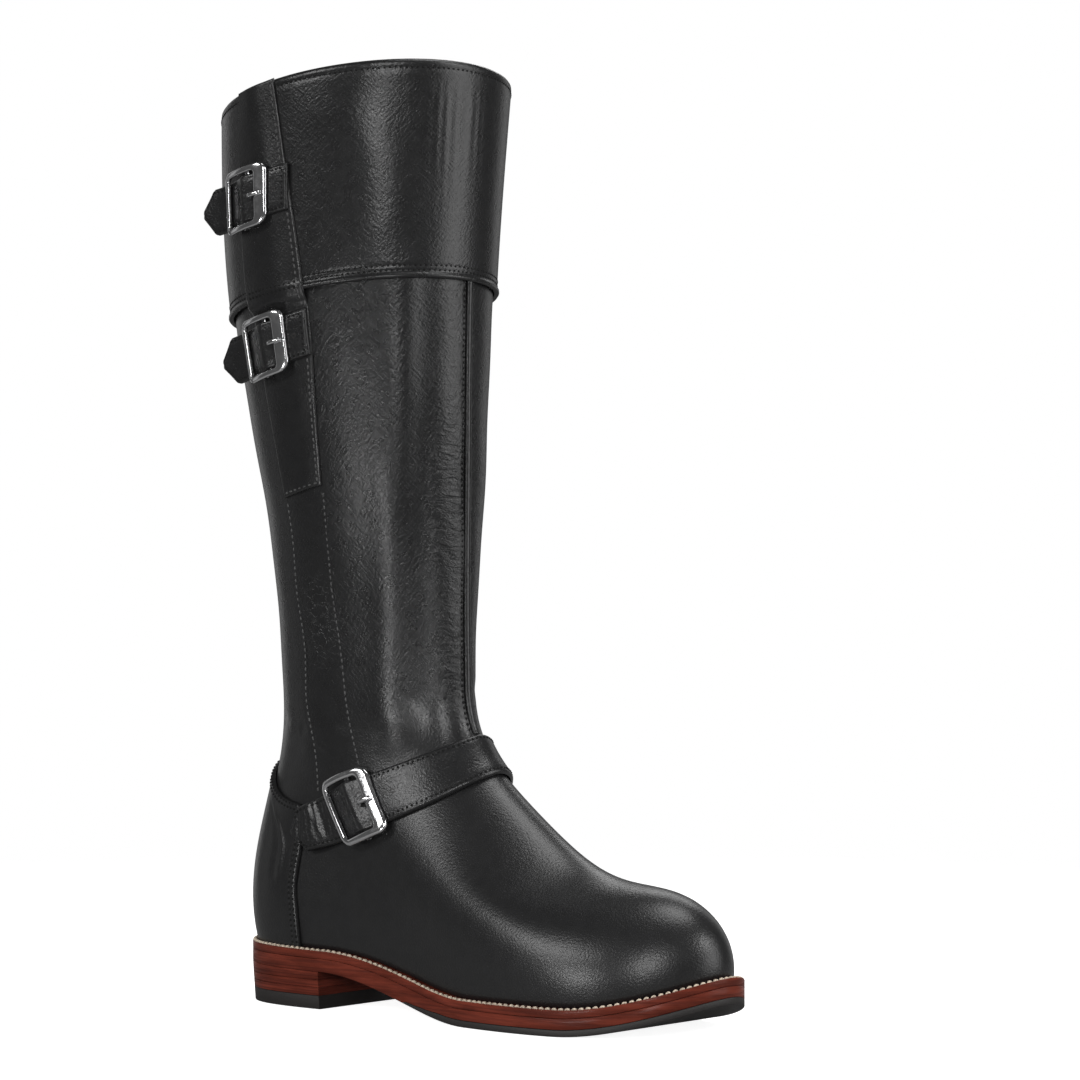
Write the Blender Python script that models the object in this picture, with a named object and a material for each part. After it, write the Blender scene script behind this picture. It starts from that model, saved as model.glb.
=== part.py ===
"""Tall riding boot for the right foot, as separate solids.

The toe points along -Y, the outer side with the buckles lies at -X and +Z is up.
All sizes are millimetres. Each mesh is scaled to metres when it is written.

A place on the upper is (u, v): u runs round the boot from the toe (0) over the outer side to the
back of the heel (1), and from 0 to -1 over the inner side. v runs from the feather line at the
sole (0) to the ankle (1) and on to the collar (2).
"""

import math

import bmesh
import bpy
import numpy as np

MM = 0.001
GAP = 0.3

# Foot
HEEL_BACK_Y = 131.0
TOE_TIP_Y = -131.0
TOE_SWING = 6.0
ANKLE_Z = 150.0
WALL = 2.2
VAMP_DIP = 12.5
VAMP_DIP_V = 0.50
VAMP_DIP_RUN = 0.17
VAMP_DIP_SHARE = 0.28

# Half widths of the feather line: y, lateral, medial
FEATHER = (
    (118.0, 24.0, 24.0),
    (100.0, 31.0, 31.0),
    (70.0, 33.0, 31.0),
    (40.0, 33.5, 28.0),
    (10.0, 36.0, 27.5),
    (-20.0, 41.0, 32.0),
    (-50.0, 44.0, 39.5),
    (-75.0, 42.5, 41.5),
    (-100.0, 34.5, 38.5),
    (-118.0, 21.0, 28.5),
)

# Level sections of the leg: z, front_y, back_y, lateral half width, medial half width, egg
LEG = (
    (150.0, 12.5, 119.0, 31.0, 31.0, 0.12),
    (175.0, 13.0, 120.0, 33.0, 34.5, 0.10),
    (254.0, 12.5, 128.5, 46.0, 47.5, 0.05),
    (328.0, 11.5, 141.5, 55.5, 54.0, 0.00),
    (436.0, 4.5, 143.5, 62.0, 62.0, 0.00),
)

# Wall of the foot between feather line and ankle: share from toe to heel, bulge, rise, drop
FOOT_WALL = (
    (0.00, 8.5, 63.0, 78.0),
    (0.15, 9.0, 52.0, 76.0),
    (0.35, 7.0, 45.0, 70.0),
    (0.55, 3.0, 40.0, 62.0),
    (0.75, 4.5, 42.0, 55.0),
    (1.00, 11.0, 42.0, 45.0),
)

# Slanted edges of the shaft: mean height, rise to the front, rise to the outer side
COLLAR_EDGE = (421.5, 12.9, 6.7)
CUFF_EDGE = (326.0, 10.9, 4.9)

# Sole and heel
BREAST_Y = 72.0
BREAST_RISE = 17.6
SEAT_SLOPE = 0.015
CONTACT_REAR_Y = -24.0
SPRING_Y = -75.0
SPRING_BEND = 0.0038
SOLE_FORE = 11.8
SOLE_SEAT = 9.6
SEAT_FROM_Y = 10.0
SEAT_TO_Y = 75.0
WELT_THICK = 3.6
WELT_INSET = 7.0
RUBBER_THICK = 3.0
RUBBER_EDGE = 0.9
RUBBER_REAR_Y = 18.0
RUBBER_SKIVE = 24.0
TOP_PIECE = 6.3
LIFT_COUNT = 3
HEEL_TAPER = 1.2
INSOLE_RISE = 2.8
INSOLE_INSET = 2.9

# Width of the sole outside the feather line: share from toe to heel, edge
SOLE_EDGE = (
    (0.00, 5.0),
    (0.35, 5.0),
    (0.60, 4.0),
    (1.00, 4.6),
)

# Overlays
CUFF_THICK = 1.6
CUFF_LIP = 1.0
CUFF_LIP_HIGH = 5.0
CUFF_ZIP_SIDE = 3.0
COUNTER_SEAT = 0.5
COUNTER_THICK = 1.5
FLAP_THICK = 1.5
FLAP_REAR_U = 0.60
FLAP_RAMP = 7.0
PIPING_HALF = 1.8
PIPING_HIGH = 1.7

# Front edge of the flap: z, u
FLAP_FRONT = (
    (240.0, 0.465),
    (275.0, 0.445),
    (310.0, 0.430),
    (370.0, 0.450),
    (430.0, 0.500),
)
FLAP_LOW = (243.0, 237.0)

# Heel counter, on both sides of the back: share from its front edge to the back, top z
COUNTER_TOP = (
    (0.00, 94.0),
    (0.35, 98.0),
    (0.70, 108.0),
    (1.00, 116.0),
)
COUNTER_FRONT_LOW = 0.795
COUNTER_FRONT_HIGH = 0.745

# Zip down the inner side: v, u
ZIP_PATH = (
    (0.60, -0.530),
    (0.70, -0.505),
    (0.80, -0.472),
    (0.97, -0.440),
    (1.07, -0.436),
    (1.20, -0.450),
    (1.40, -0.472),
    (1.70, -0.486),
    (2.00, -0.494),
)
ZIP_LOW_V = 0.60
ZIP_HALF = 4.2
ZIP_INNER = -2.0
ZIP_OUTER = -0.6
SLIDER_V = 1.93
SLIDER_LENGTH = 11.0
SLIDER_WIDTH = 6.8
SLIDER_HIGH = 3.4
EAR_LENGTH = 3.4
EAR_HIGH = 2.4
EAR_WALL = 1.0
PULL_LENGTH = 24.0
PULL_WIDTH = 3.8
PULL_THICK = 1.6

# Straps and buckles
STRAP_THICK = 2.0
STRAP_HUMP = 2.5
STRAP_HUMP_RUN = 4.5
STRAP_SLOT = 1.7
STRAP_POINT = 8.0
ANKLE_WIDTH = 20.0
CALF_WIDTH = 21.5
FRAME_LENGTH = 29.0
FRAME_BAR_FRONT = 6.3
FRAME_BAR_REAR = 3.4
FRAME_RAIL = 2.8
FRAME_CLEAR = 0.7
FRAME_LOW = 2.6
FRAME_HIGH = 4.8
FRAME_CORNER = 5.0
WINDOW_CORNER = 1.8
BAR_HALF = 1.2
BAR_HIGH = 2.3
PRONG_RADIUS = 1.0
PRONG_REACH = 13.0

# Ankle strap: u, lower edge z, upper edge z
ANKLE_STRAP = (
    (-0.52, 86.0, 108.0),
    (-0.44, 90.5, 111.5),
    (-0.26, 99.0, 119.0),
    (-0.10, 107.5, 125.5),
    (0.00, 110.0, 127.5),
    (0.10, 107.5, 125.5),
    (0.26, 99.0, 119.0),
    (0.44, 88.5, 110.0),
    (0.54, 83.0, 105.0),
    (0.65, 77.0, 98.0),
    (0.82, 68.5, 88.0),
)
ANKLE_BUCKLE_U = 0.522
ANKLE_TIP = -44.0
ANKLE_END_U = -0.437
ANKLE_END_SHEAR = 0.34
ANKLE_SEAT = 0.6

# Calf straps: name, buckle u, middle z at the sewn end, middle z at the buckle, sewn end u, tip
CALF_STRAPS = (
    ("upper", 0.560, 380.0, 375.0, 0.457, -30.0),
    ("lower", 0.552, 313.5, 307.5, 0.432, -30.0),
)
TIP_STAND_OFF = 0.026

# Sampling
COLUMNS = 28
ROWS_FOOT = (0.0, 0.05, 0.12, 0.20, 0.29, 0.38, 0.49, 0.60, 0.70, 0.79, 0.87, 0.95)
ROWS_LEG = (1.03, 1.11, 1.20, 1.30, 1.41, 1.53, 1.66, 1.82, 2.0)

# Materials: base colour, roughness, metallic
BLACK_LEATHER = ("black_leather", (0.018, 0.018, 0.019), 0.42, 0.0)
BROWN_LEATHER = ("brown_leather", (0.150, 0.036, 0.024), 0.38, 0.0)
LINING_LEATHER = ("lining_leather", (0.060, 0.050, 0.044), 0.65, 0.0)
BLACK_RUBBER = ("black_rubber", (0.012, 0.012, 0.012), 0.75, 0.0)
BLACK_FABRIC = ("black_fabric", (0.015, 0.015, 0.016), 0.80, 0.0)
BLACK_METAL = ("black_metal", (0.030, 0.030, 0.032), 0.35, 1.0)
STEEL = ("polished_steel", (0.720, 0.720, 0.730), 0.12, 1.0)


def natural_spline(knots, values):
    """Smooth curve through the values, straight at both ends."""
    knots = np.asarray(knots, float)
    values = np.asarray(values, float)
    gaps = np.diff(knots)
    last = len(knots) - 1
    system = np.eye(last + 1)
    right = np.zeros(last + 1)
    for i in range(1, last):
        system[i, i - 1 : i + 2] = gaps[i - 1], 2 * (gaps[i - 1] + gaps[i]), gaps[i]
        rise_after = (values[i + 1] - values[i]) / gaps[i]
        rise_before = (values[i] - values[i - 1]) / gaps[i - 1]
        right[i] = 6 * (rise_after - rise_before)
    bends = np.linalg.solve(system, right)

    def at(place):
        place = np.asarray(place, float)
        i = np.clip(np.searchsorted(knots, place) - 1, 0, last - 1)
        a = (knots[i + 1] - place) / gaps[i]
        b = 1 - a
        cubic = (a**3 - a) * bends[i] + (b**3 - b) * bends[i + 1]
        return a * values[i] + b * values[i + 1] + cubic * gaps[i] ** 2 / 6

    return at


def even_spline(shares, values):
    """Smooth curve over shares from 0 to 1 that runs level at both ends."""
    shares = np.asarray(shares, float)
    values = np.asarray(values, float)
    knots = np.concatenate([-shares[:0:-1], shares, 2 - shares[-2::-1]])
    return natural_spline(knots, np.concatenate([values[:0:-1], values, values[-2::-1]]))


def closed_spline(points, per_span):
    """Points of a smooth closed curve through the given points."""
    points = np.asarray(points, float)
    count = len(points)
    gaps = np.linalg.norm(np.roll(points, -1, axis=0) - points, axis=1)
    system = np.zeros((count, count))
    right = np.zeros((count, 2))
    for i in range(count):
        before = (i - 1) % count
        after = (i + 1) % count
        system[i, before] = gaps[before]
        system[i, i] = 2 * (gaps[before] + gaps[i])
        system[i, after] = gaps[i]
        rise_after = (points[after] - points[i]) / gaps[i]
        rise_before = (points[i] - points[before]) / gaps[before]
        right[i] = 6 * (rise_after - rise_before)
    bends = np.linalg.solve(system, right)
    b = np.linspace(0, 1, per_span, endpoint=False)[:, None]
    a = 1 - b
    spans = []
    for i in range(count):
        after = (i + 1) % count
        cubic = (a**3 - a) * bends[i] + (b**3 - b) * bends[after]
        spans.append(a * points[i] + b * points[after] + cubic * gaps[i] ** 2 / 6)
    return np.concatenate(spans)


def ease(share):
    """Smooth step from 0 to 1."""
    share = np.clip(share, 0, 1)
    return share * share * (3 - 2 * share)


def column(table, index):
    return [row[index] for row in table]


def feather_sides(per_span=24):
    """The outer and inner half of the feather line from toe to heel, with the share of each length."""
    lateral = [(-row[1], row[0]) for row in FEATHER][::-1]
    medial = [(row[2], row[0]) for row in FEATHER]
    points = [(TOE_SWING, TOE_TIP_Y)] + lateral + [(0.0, HEEL_BACK_Y)] + medial
    dense = closed_spline(points, per_span)
    heel = (1 + len(lateral)) * per_span
    halves = (dense[: heel + 1], np.concatenate([dense[heel:], dense[:1]])[::-1])
    sides = []
    for line in halves:
        run = np.concatenate([[0], np.cumsum(np.linalg.norm(np.diff(line, axis=0), axis=1))])
        sides.append((run / run[-1], line))
    return sides


FEATHER_SIDES = feather_sides()
LEG_COLUMNS = [natural_spline(column(LEG, 0), column(LEG, i)) for i in range(1, 6)]
WALL_COLUMNS = [even_spline(column(FOOT_WALL, 0), column(FOOT_WALL, i)) for i in range(1, 4)]
EDGE_SPLINE = even_spline(column(SOLE_EDGE, 0), column(SOLE_EDGE, 1))
ZIP_SPLINE = natural_spline(column(ZIP_PATH, 0), column(ZIP_PATH, 1))
FLAP_SPLINE = natural_spline(column(FLAP_FRONT, 0), column(FLAP_FRONT, 1))
COUNTER_SPLINE = natural_spline(column(COUNTER_TOP, 0), column(COUNTER_TOP, 1))
STRAP_LOW = natural_spline(column(ANKLE_STRAP, 0), column(ANKLE_STRAP, 1))
STRAP_HIGH = natural_spline(column(ANKLE_STRAP, 0), column(ANKLE_STRAP, 2))


def sole_bottom(y):
    """Underside of the sole: heel seat, arch, flat forefoot and toe spring."""
    y = np.asarray(y, float)
    arch = BREAST_RISE * ease((y - CONTACT_REAR_Y) / (BREAST_Y - CONTACT_REAR_Y))
    seat = SEAT_SLOPE * np.maximum(y - BREAST_Y, 0)
    spring = SPRING_BEND * np.maximum(SPRING_Y - y, 0) ** 2
    return arch + seat + spring


def sole_top(y):
    """Upper side of the welt."""
    share = ease((np.asarray(y, float) - SEAT_FROM_Y) / (SEAT_TO_Y - SEAT_FROM_Y))
    return sole_bottom(y) + SOLE_FORE + (SOLE_SEAT - SOLE_FORE) * share


def round_once(u):
    return (np.asarray(u, float) + 1) % 2 - 1


def feather(u):
    u = round_once(u)
    place = np.zeros(u.shape + (2,))
    for (share, line), mask in zip(FEATHER_SIDES, (u >= 0, u < 0)):
        for axis in range(2):
            here = np.interp(np.abs(u), share, line[:, axis])
            place[..., axis] = np.where(mask, here, place[..., axis])
    return place


def outward(u, step=0.006):
    """Level direction that points out of the feather line."""
    along = feather(np.asarray(u, float) + step) - feather(np.asarray(u, float) - step)
    normal = np.stack([-along[..., 1], along[..., 0]], -1)
    return normal / np.linalg.norm(normal, axis=-1, keepdims=True)


def leg(u, z):
    """Point of the leg's level section at height z."""
    front, back, lateral, medial, egg = [spline(z) for spline in LEG_COLUMNS]
    angle = np.pi * u
    half = np.where(u >= 0, lateral, medial)
    x = -half * np.sin(angle) * (1 - egg * np.cos(angle))
    y = (front + back) / 2 - (back - front) / 2 * np.cos(angle)
    return np.stack([x, y, np.broadcast_to(z, x.shape)], -1)


def edge_height(u, edge):
    angle = np.pi * np.asarray(u, float)
    return edge[0] + edge[1] * np.cos(angle) + edge[2] * np.sin(angle)


def surface(u, v):
    """Outer face of the upper."""
    u, v = np.broadcast_arrays(np.asarray(u, float), np.asarray(v, float))
    u = round_once(u)
    base = feather(u)
    low = np.concatenate([base, (sole_top(base[..., 1]) + GAP)[..., None]], -1)
    bulge, rise, drop = [spline(np.abs(u))[..., None] for spline in WALL_COLUMNS]
    side = low + np.concatenate([outward(u) * bulge, rise], -1)
    ankle = leg(u, np.full(u.shape, ANKLE_Z))
    up = leg(u, np.full(u.shape, ANKLE_Z + 1)) - ankle
    instep = ankle - up / np.linalg.norm(up, axis=-1, keepdims=True) * drop
    s = np.clip(v, 0, 1)[..., None]
    foot = (1 - s) ** 3 * low + 3 * (1 - s) ** 2 * s * side
    foot = foot + 3 * (1 - s) * s**2 * instep + s**3 * ankle
    along = ((s[..., 0] - VAMP_DIP_V) / VAMP_DIP_RUN) ** 2
    dip = VAMP_DIP * np.exp(-along - (u / VAMP_DIP_SHARE) ** 2)
    foot[..., 2] -= dip
    z = ANKLE_Z + np.clip(v - 1, 0, 1) * (edge_height(u, COLLAR_EDGE) - ANKLE_Z)
    return np.where((v <= 1)[..., None], foot, leg(u, z))


def slopes(u, v, step=0.004):
    """How the surface runs along u and along v."""
    u, v = np.broadcast_arrays(np.asarray(u, float), np.asarray(v, float))
    along_u = (surface(u + step, v) - surface(u - step, v)) / (2 * step)
    high = np.minimum(v + step, 2)
    low = np.maximum(v - step, 0)
    along_v = (surface(u, high) - surface(u, low)) / (high - low)[..., None]
    return along_u, along_v


def skin(u, v, lift):
    """Point at a height over the outer face, along its normal."""
    along_u, along_v = slopes(u, v)
    normal = np.cross(along_v, along_u)
    normal /= np.linalg.norm(normal, axis=-1, keepdims=True)
    return surface(u, v) + normal * np.asarray(lift, float)[..., None]


def v_at_height(u, z):
    """The v where the outer face reaches height z."""
    u, z = np.broadcast_arrays(np.asarray(u, float), np.asarray(z, float))
    low = np.zeros(u.shape)
    high = np.full(u.shape, 2.0)
    for _ in range(40):
        middle = (low + high) / 2
        under = surface(u, middle)[..., 2] < z
        low = np.where(under, middle, low)
        high = np.where(under, high, middle)
    return (low + high) / 2


def skin_at_height(u, z, lift):
    return skin(u, v_at_height(u, z), lift)


def zip_sides(v, side):
    """The u of the line that lies a given distance from the middle of the zip, + toward the toe."""
    middle = ZIP_SPLINE(np.maximum(v, ZIP_LOW_V))
    speed = np.linalg.norm(slopes(middle, v)[0], axis=-1)
    return middle + side / speed


class Pieces:
    """Meshes of the boot, kept until the whole size is known."""

    def __init__(self):
        self.meshes = {}

    def add(self, name, points, faces, material, joins=None):
        self.meshes[name] = (np.asarray(points, float).reshape(-1, 3), faces, material, joins)

    def write(self):
        """Writes each mesh with the origin at the middle of the boot's footprint."""
        clouds = [mesh[0] for mesh in self.meshes.values()]
        clouds += [mesh[3][0] for mesh in self.meshes.values() if mesh[3] is not None]
        every = np.concatenate(clouds)
        low = every.min(axis=0)
        high = every.max(axis=0)
        origin = np.array([(low[0] + high[0]) / 2, (low[1] + high[1]) / 2, low[2]])
        for name, (points, faces, material, joins) in self.meshes.items():
            piece = mesh_object(name, points - origin, faces, material)
            if joins is not None:
                helper = mesh_object(name + "_core", joins[0] - origin, joins[1], material)
                helper.hide_render = True
                helper.display_type = "WIRE"
                union = piece.modifiers.new("core", "BOOLEAN")
                union.operation = "UNION"
                union.solver = "EXACT"
                union.object = helper


def material_of(spec):
    name, colour, roughness, metallic = spec
    made = bpy.data.materials.get(name)
    if made is None:
        made = bpy.data.materials.new(name)
        made.use_nodes = True
        shader = made.node_tree.nodes["Principled BSDF"]
        shader.inputs["Base Color"].default_value = (*colour, 1.0)
        shader.inputs["Roughness"].default_value = roughness
        shader.inputs["Metallic"].default_value = metallic
    return made


def mesh_object(name, points, faces, material):
    mesh = bpy.data.meshes.new(name)
    mesh.from_pydata((points * MM).tolist(), [], faces)
    work = bmesh.new()
    work.from_mesh(mesh)
    bmesh.ops.recalc_face_normals(work, faces=work.faces)
    work.to_mesh(mesh)
    work.free()
    mesh.materials.append(material_of(material))
    made = bpy.data.objects.new(name, mesh)
    bpy.context.scene.collection.objects.link(made)
    return made


def shell(under, over, wrap=False, solid=None):
    """Closed body between two grids of points. Cells that solid leaves out become holes."""
    rows, columns = under.shape[:2]
    cells = columns if wrap else columns - 1
    if solid is None:
        solid = np.ones((rows - 1, cells), bool)
    size = rows * columns

    def index(row, col):
        return row * columns + col % columns

    faces = []
    for row in range(rows - 1):
        for col in range(cells):
            if not solid[row, col]:
                continue
            quad = [index(row, col), index(row, col + 1), index(row + 1, col + 1), index(row + 1, col)]
            faces.append([size + i for i in quad])
            faces.append(quad[::-1])
            before = solid[row, (col - 1) % cells] if wrap or col > 0 else False
            after = solid[row, (col + 1) % cells] if wrap or col < cells - 1 else False
            below = row > 0 and solid[row - 1, col]
            above = row < rows - 2 and solid[row + 1, col]
            for kept, start in ((below, 0), (after, 1), (above, 2), (before, 3)):
                if not kept:
                    a = quad[start]
                    b = quad[(start + 1) % 4]
                    faces.append([a, b, size + b, size + a])
    points = np.concatenate([under.reshape(-1, 3), over.reshape(-1, 3)])
    used = sorted({i for face in faces for i in face})
    place = {old: new for new, old in enumerate(used)}
    return points[used], [[place[i] for i in face] for face in faces]


def stack(loops):
    """Closed body through loops of left and right points, capped across at both ends."""
    points = []
    faces = []
    rings = []
    rungs = []
    for left, right in loops:
        count = len(left)
        start = len(points)
        points.extend(left)
        right_index = []
        for i in range(count):
            if i in (0, count - 1) and np.allclose(left[i], right[i], atol=1e-6):
                right_index.append(start + i)
            else:
                right_index.append(len(points))
                points.append(right[i])
        left_index = list(range(start, start + count))
        ring = left_index + [i for i in right_index[::-1] if i not in (left_index[0], left_index[-1])]
        rings.append(ring)
        rungs.append((left_index, right_index))
    for low, high in zip(rings, rings[1:]):
        for i in range(len(low)):
            j = (i + 1) % len(low)
            faces.append([low[i], low[j], high[j], high[i]])
    for left_index, right_index in (rungs[0], rungs[-1]):
        for i in range(len(left_index) - 1):
            quad = [left_index[i], left_index[i + 1], right_index[i + 1], right_index[i]]
            faces.append(list(dict.fromkeys(quad)))
    return np.array(points), faces


def upper_grid_u(v):
    """The u of each column in the row v. Two neighbouring columns follow the zip's slot."""
    share = np.linspace(0, 1, COLUMNS + 1)
    lateral = share[:-1]
    front = float(zip_sides(v, ZIP_HALF))
    rear = float(zip_sides(v, -ZIP_HALF))
    before = COLUMNS // 2
    medial_rear = np.linspace(-1, rear, COLUMNS - before)
    medial_front = np.linspace(front, 0, before + 1)[:-1]
    return np.concatenate([lateral, medial_rear, medial_front])


def slot_column():
    """Index of the column of cells that the zip's slot leaves out."""
    return COLUMNS + COLUMNS - COLUMNS // 2 - 1


def add_upper(pieces):
    rows = np.array(ROWS_FOOT + ROWS_LEG)
    u = np.stack([upper_grid_u(v) for v in rows])
    v = np.broadcast_to(rows[:, None], u.shape)
    solid = np.ones((len(rows) - 1, u.shape[1]), bool)
    solid[rows[:-1] >= ZIP_LOW_V - 1e-6, slot_column()] = False
    inside = skin(u, v, np.full(u.shape, -WALL))
    outside = surface(u, v)
    pieces.add("upper", *shell(inside, outside, True, solid), BLACK_LEATHER)


def cuff_lift(z, low):
    """Outer lift of the cuff, with a rolled lip at its lower edge."""
    lip = CUFF_LIP * (1 - ease((z - low) / CUFF_LIP_HIGH))
    return GAP + CUFF_THICK + lip


def add_cuff(pieces):
    u = np.concatenate([
        np.linspace(0, 1, COLUMNS + 1)[:-1],
        np.linspace(-1, float(zip_sides(1.8, -ZIP_HALF - CUFF_ZIP_SIDE)), COLUMNS // 2 + 1),
    ])
    front = np.linspace(float(zip_sides(1.8, ZIP_HALF + CUFF_ZIP_SIDE)), 0, COLUMNS // 2)[:-1]
    u = np.concatenate([front, u])
    low = edge_height(u, CUFF_EDGE)
    high = edge_height(u, COLLAR_EDGE)
    share = np.array([0.0, 0.02, 0.055, 0.45, 1.0])[:, None]
    z = low + share * (high - low)
    v = 1 + (z - ANKLE_Z) / (high - ANKLE_Z)
    grid = np.broadcast_to(u, v.shape)
    under = skin(grid, v, np.full(v.shape, GAP))
    over = skin(grid, v, cuff_lift(z, low))
    pieces.add("cuff", *shell(under, over), BLACK_LEATHER)


def add_counter(pieces):
    across = np.linspace(-1, 1, 21)
    depth = 1 - np.abs(across)
    rows = np.linspace(0, 1, 7)[:, None]
    top = COUNTER_SPLINE(depth)
    lean = ease((rows - 0.35) / 0.65)
    front = COUNTER_FRONT_LOW + (COUNTER_FRONT_HIGH - COUNTER_FRONT_LOW) * lean
    share = front + (1 - front) * depth
    u = np.where(across <= 0, share, -share)
    foot = sole_top(feather(u)[..., 1]) + 4 * GAP
    z = foot + rows * (top - foot)
    v = v_at_height(u, z)
    under = skin(u, v, np.full(v.shape, COUNTER_SEAT))
    over = skin(u, v, np.full(v.shape, COUNTER_SEAT + COUNTER_THICK))
    pieces.add("heel_counter", *shell(under, over), BLACK_LEATHER)


def flap_seat(u, z):
    """Lift of the flap's under side: over the cuff above, close to the shaft below."""
    over_cuff = CUFF_THICK + CUFF_LIP + GAP
    return GAP + over_cuff * ease((z - edge_height(u, CUFF_EDGE) + FLAP_RAMP) / (FLAP_RAMP - 2))


def flap_heights(low, cuff, collar):
    """Heights of the flap's rows, close together where it climbs onto the cuff."""
    below = np.linspace(low, cuff - FLAP_RAMP, 5)
    ramp = [cuff - FLAP_RAMP + 2.5, cuff - 2]
    above = np.linspace(cuff + 6, collar + 1, 5)
    return np.concatenate([below, ramp, above])


def add_flap(pieces):
    across = np.linspace(0, 1, 6)
    columns_u = []
    columns_z = []
    for side in across:
        low = FLAP_LOW[0] + side * (FLAP_LOW[1] - FLAP_LOW[0])
        middle_u = FLAP_SPLINE(FLAP_LOW[0]) * (1 - side) + FLAP_REAR_U * side
        cuff = edge_height(middle_u, CUFF_EDGE)
        z = flap_heights(low, cuff, edge_height(middle_u, COLLAR_EDGE))
        front = FLAP_SPLINE(z)
        columns_u.append(front + side * (FLAP_REAR_U - front))
        columns_z.append(z)
    u = np.stack(columns_u, -1)
    z = np.stack(columns_z, -1)
    v = np.minimum(1 + (z - ANKLE_Z) / (edge_height(u, COLLAR_EDGE) - ANKLE_Z), 2)
    seat = flap_seat(u, z)
    under = skin(u, v, seat)
    over = skin(u, v, seat + FLAP_THICK)
    rise = np.maximum(z - edge_height(u, COLLAR_EDGE), 0)
    under[..., 2] += rise
    over[..., 2] += rise
    pieces.add("calf_flap", *shell(under, over), BLACK_LEATHER)


def add_piping(pieces):
    low = float(STRAP_HIGH(0.0)) + 1.5
    high = float(edge_height(0.0, CUFF_EDGE)) - 0.8
    z = np.linspace(low, high, 18)[:, None]
    across = np.array([-1.0, -0.55, 0.0, 0.55, 1.0])
    v = v_at_height(np.zeros(z.shape), z)
    speed = np.linalg.norm(slopes(np.zeros(v.shape), v)[0], axis=-1)
    u = across * PIPING_HALF / speed
    v = np.broadcast_to(v, u.shape)
    crown = np.sqrt(np.maximum(1 - across**2, 0.02))
    under = skin(u, v, np.full(u.shape, 2 * GAP))
    over = skin(u, v, 2 * GAP + PIPING_HIGH * np.broadcast_to(crown, u.shape))
    pieces.add("front_piping", *shell(under, over), BLACK_LEATHER)


def add_zip(pieces):
    rows = [v for v in ROWS_FOOT + ROWS_LEG if v >= ZIP_LOW_V - 1e-6]
    start = float(np.linalg.norm(slopes(ZIP_SPLINE(ZIP_LOW_V), ZIP_LOW_V)[1]))
    rows[0] = ZIP_LOW_V + GAP / start
    v = np.array(rows)[:, None]
    half = ZIP_HALF - GAP
    u = np.concatenate([zip_sides(v, side) for side in (half, 0.0, -half)], axis=1)
    v = np.broadcast_to(v, u.shape)
    under = skin(u, v, np.full(u.shape, ZIP_INNER))
    over = skin(u, v, np.full(u.shape, ZIP_OUTER))
    pieces.add("zip", *shell(under, over), BLACK_FABRIC)


def box(low, high):
    """Eight corners and six faces of a block."""
    corners = [(x, y, z) for x in (low[0], high[0]) for y in (low[1], high[1]) for z in (low[2], high[2])]
    faces = [[0, 1, 3, 2], [4, 6, 7, 5], [0, 4, 5, 1], [2, 3, 7, 6], [0, 2, 6, 4], [1, 5, 7, 3]]
    return np.array(corners, float), faces


def profile_body(profile, low, high):
    """A profile of (second, third) points drawn along the first axis."""
    count = len(profile)
    points = [(low, a, b) for a, b in profile] + [(high, a, b) for a, b in profile]
    faces = [list(range(count)), list(range(count, 2 * count))]
    for i in range(count):
        j = (i + 1) % count
        faces.append([i, j, count + j, count + i])
    return np.array(points, float), faces


def slider_frame():
    """Place and axes of the slider: along the zip, across it and out of it."""
    u = float(ZIP_SPLINE(SLIDER_V))
    place = skin(np.array(u), np.array(SLIDER_V), np.array(ZIP_OUTER))
    next_v = np.array(SLIDER_V + 0.02)
    along = skin(ZIP_SPLINE(next_v), next_v, np.array(ZIP_OUTER)) - place
    along /= np.linalg.norm(along)
    out = skin(np.array(u), np.array(SLIDER_V), np.array(1.0)) - place
    out -= along * (out @ along)
    out /= np.linalg.norm(out)
    return place, np.stack([along, np.cross(out, along), out])


def add_slider(pieces):
    place, axes = slider_frame()
    half = SLIDER_LENGTH / 2
    side = SLIDER_WIDTH / 2
    base, base_faces = box((-half, -side, 2 * GAP), (half, side, SLIDER_HIGH))
    lug = side - EAR_WALL
    profile = [
        (-side, SLIDER_HIGH - 1),
        (side, SLIDER_HIGH - 1),
        (side, SLIDER_HIGH + EAR_HIGH),
        (lug, SLIDER_HIGH + EAR_HIGH),
        (lug, SLIDER_HIGH),
        (-lug, SLIDER_HIGH),
        (-lug, SLIDER_HIGH + EAR_HIGH),
        (-side, SLIDER_HIGH + EAR_HIGH),
    ]
    ears, ear_faces = profile_body(profile, half - 1 - EAR_LENGTH, half - 1)
    pieces.add("zip_slider", place + base @ axes, base_faces, BLACK_METAL, (place + ears @ axes, ear_faces))
    radius = PULL_THICK / 2
    hinge_t = half - 1 - EAR_LENGTH / 2
    hinge_h = SLIDER_HIGH + GAP + radius + 0.1
    outline = []
    for angle in np.linspace(-90, 90, 9):
        turn = math.radians(angle)
        outline.append((hinge_t + radius * math.cos(turn), hinge_h + radius * math.sin(turn)))
    outline.append((hinge_t - PULL_LENGTH, hinge_h + radius))
    outline.append((hinge_t - PULL_LENGTH, hinge_h - radius))
    tab, tab_faces = profile_body([(t, h) for t, h in outline], -PULL_WIDTH / 2, PULL_WIDTH / 2)
    tab = tab[:, [1, 0, 2]]
    pieces.add("zip_pull", place + tab @ axes, tab_faces, BLACK_METAL)


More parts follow.
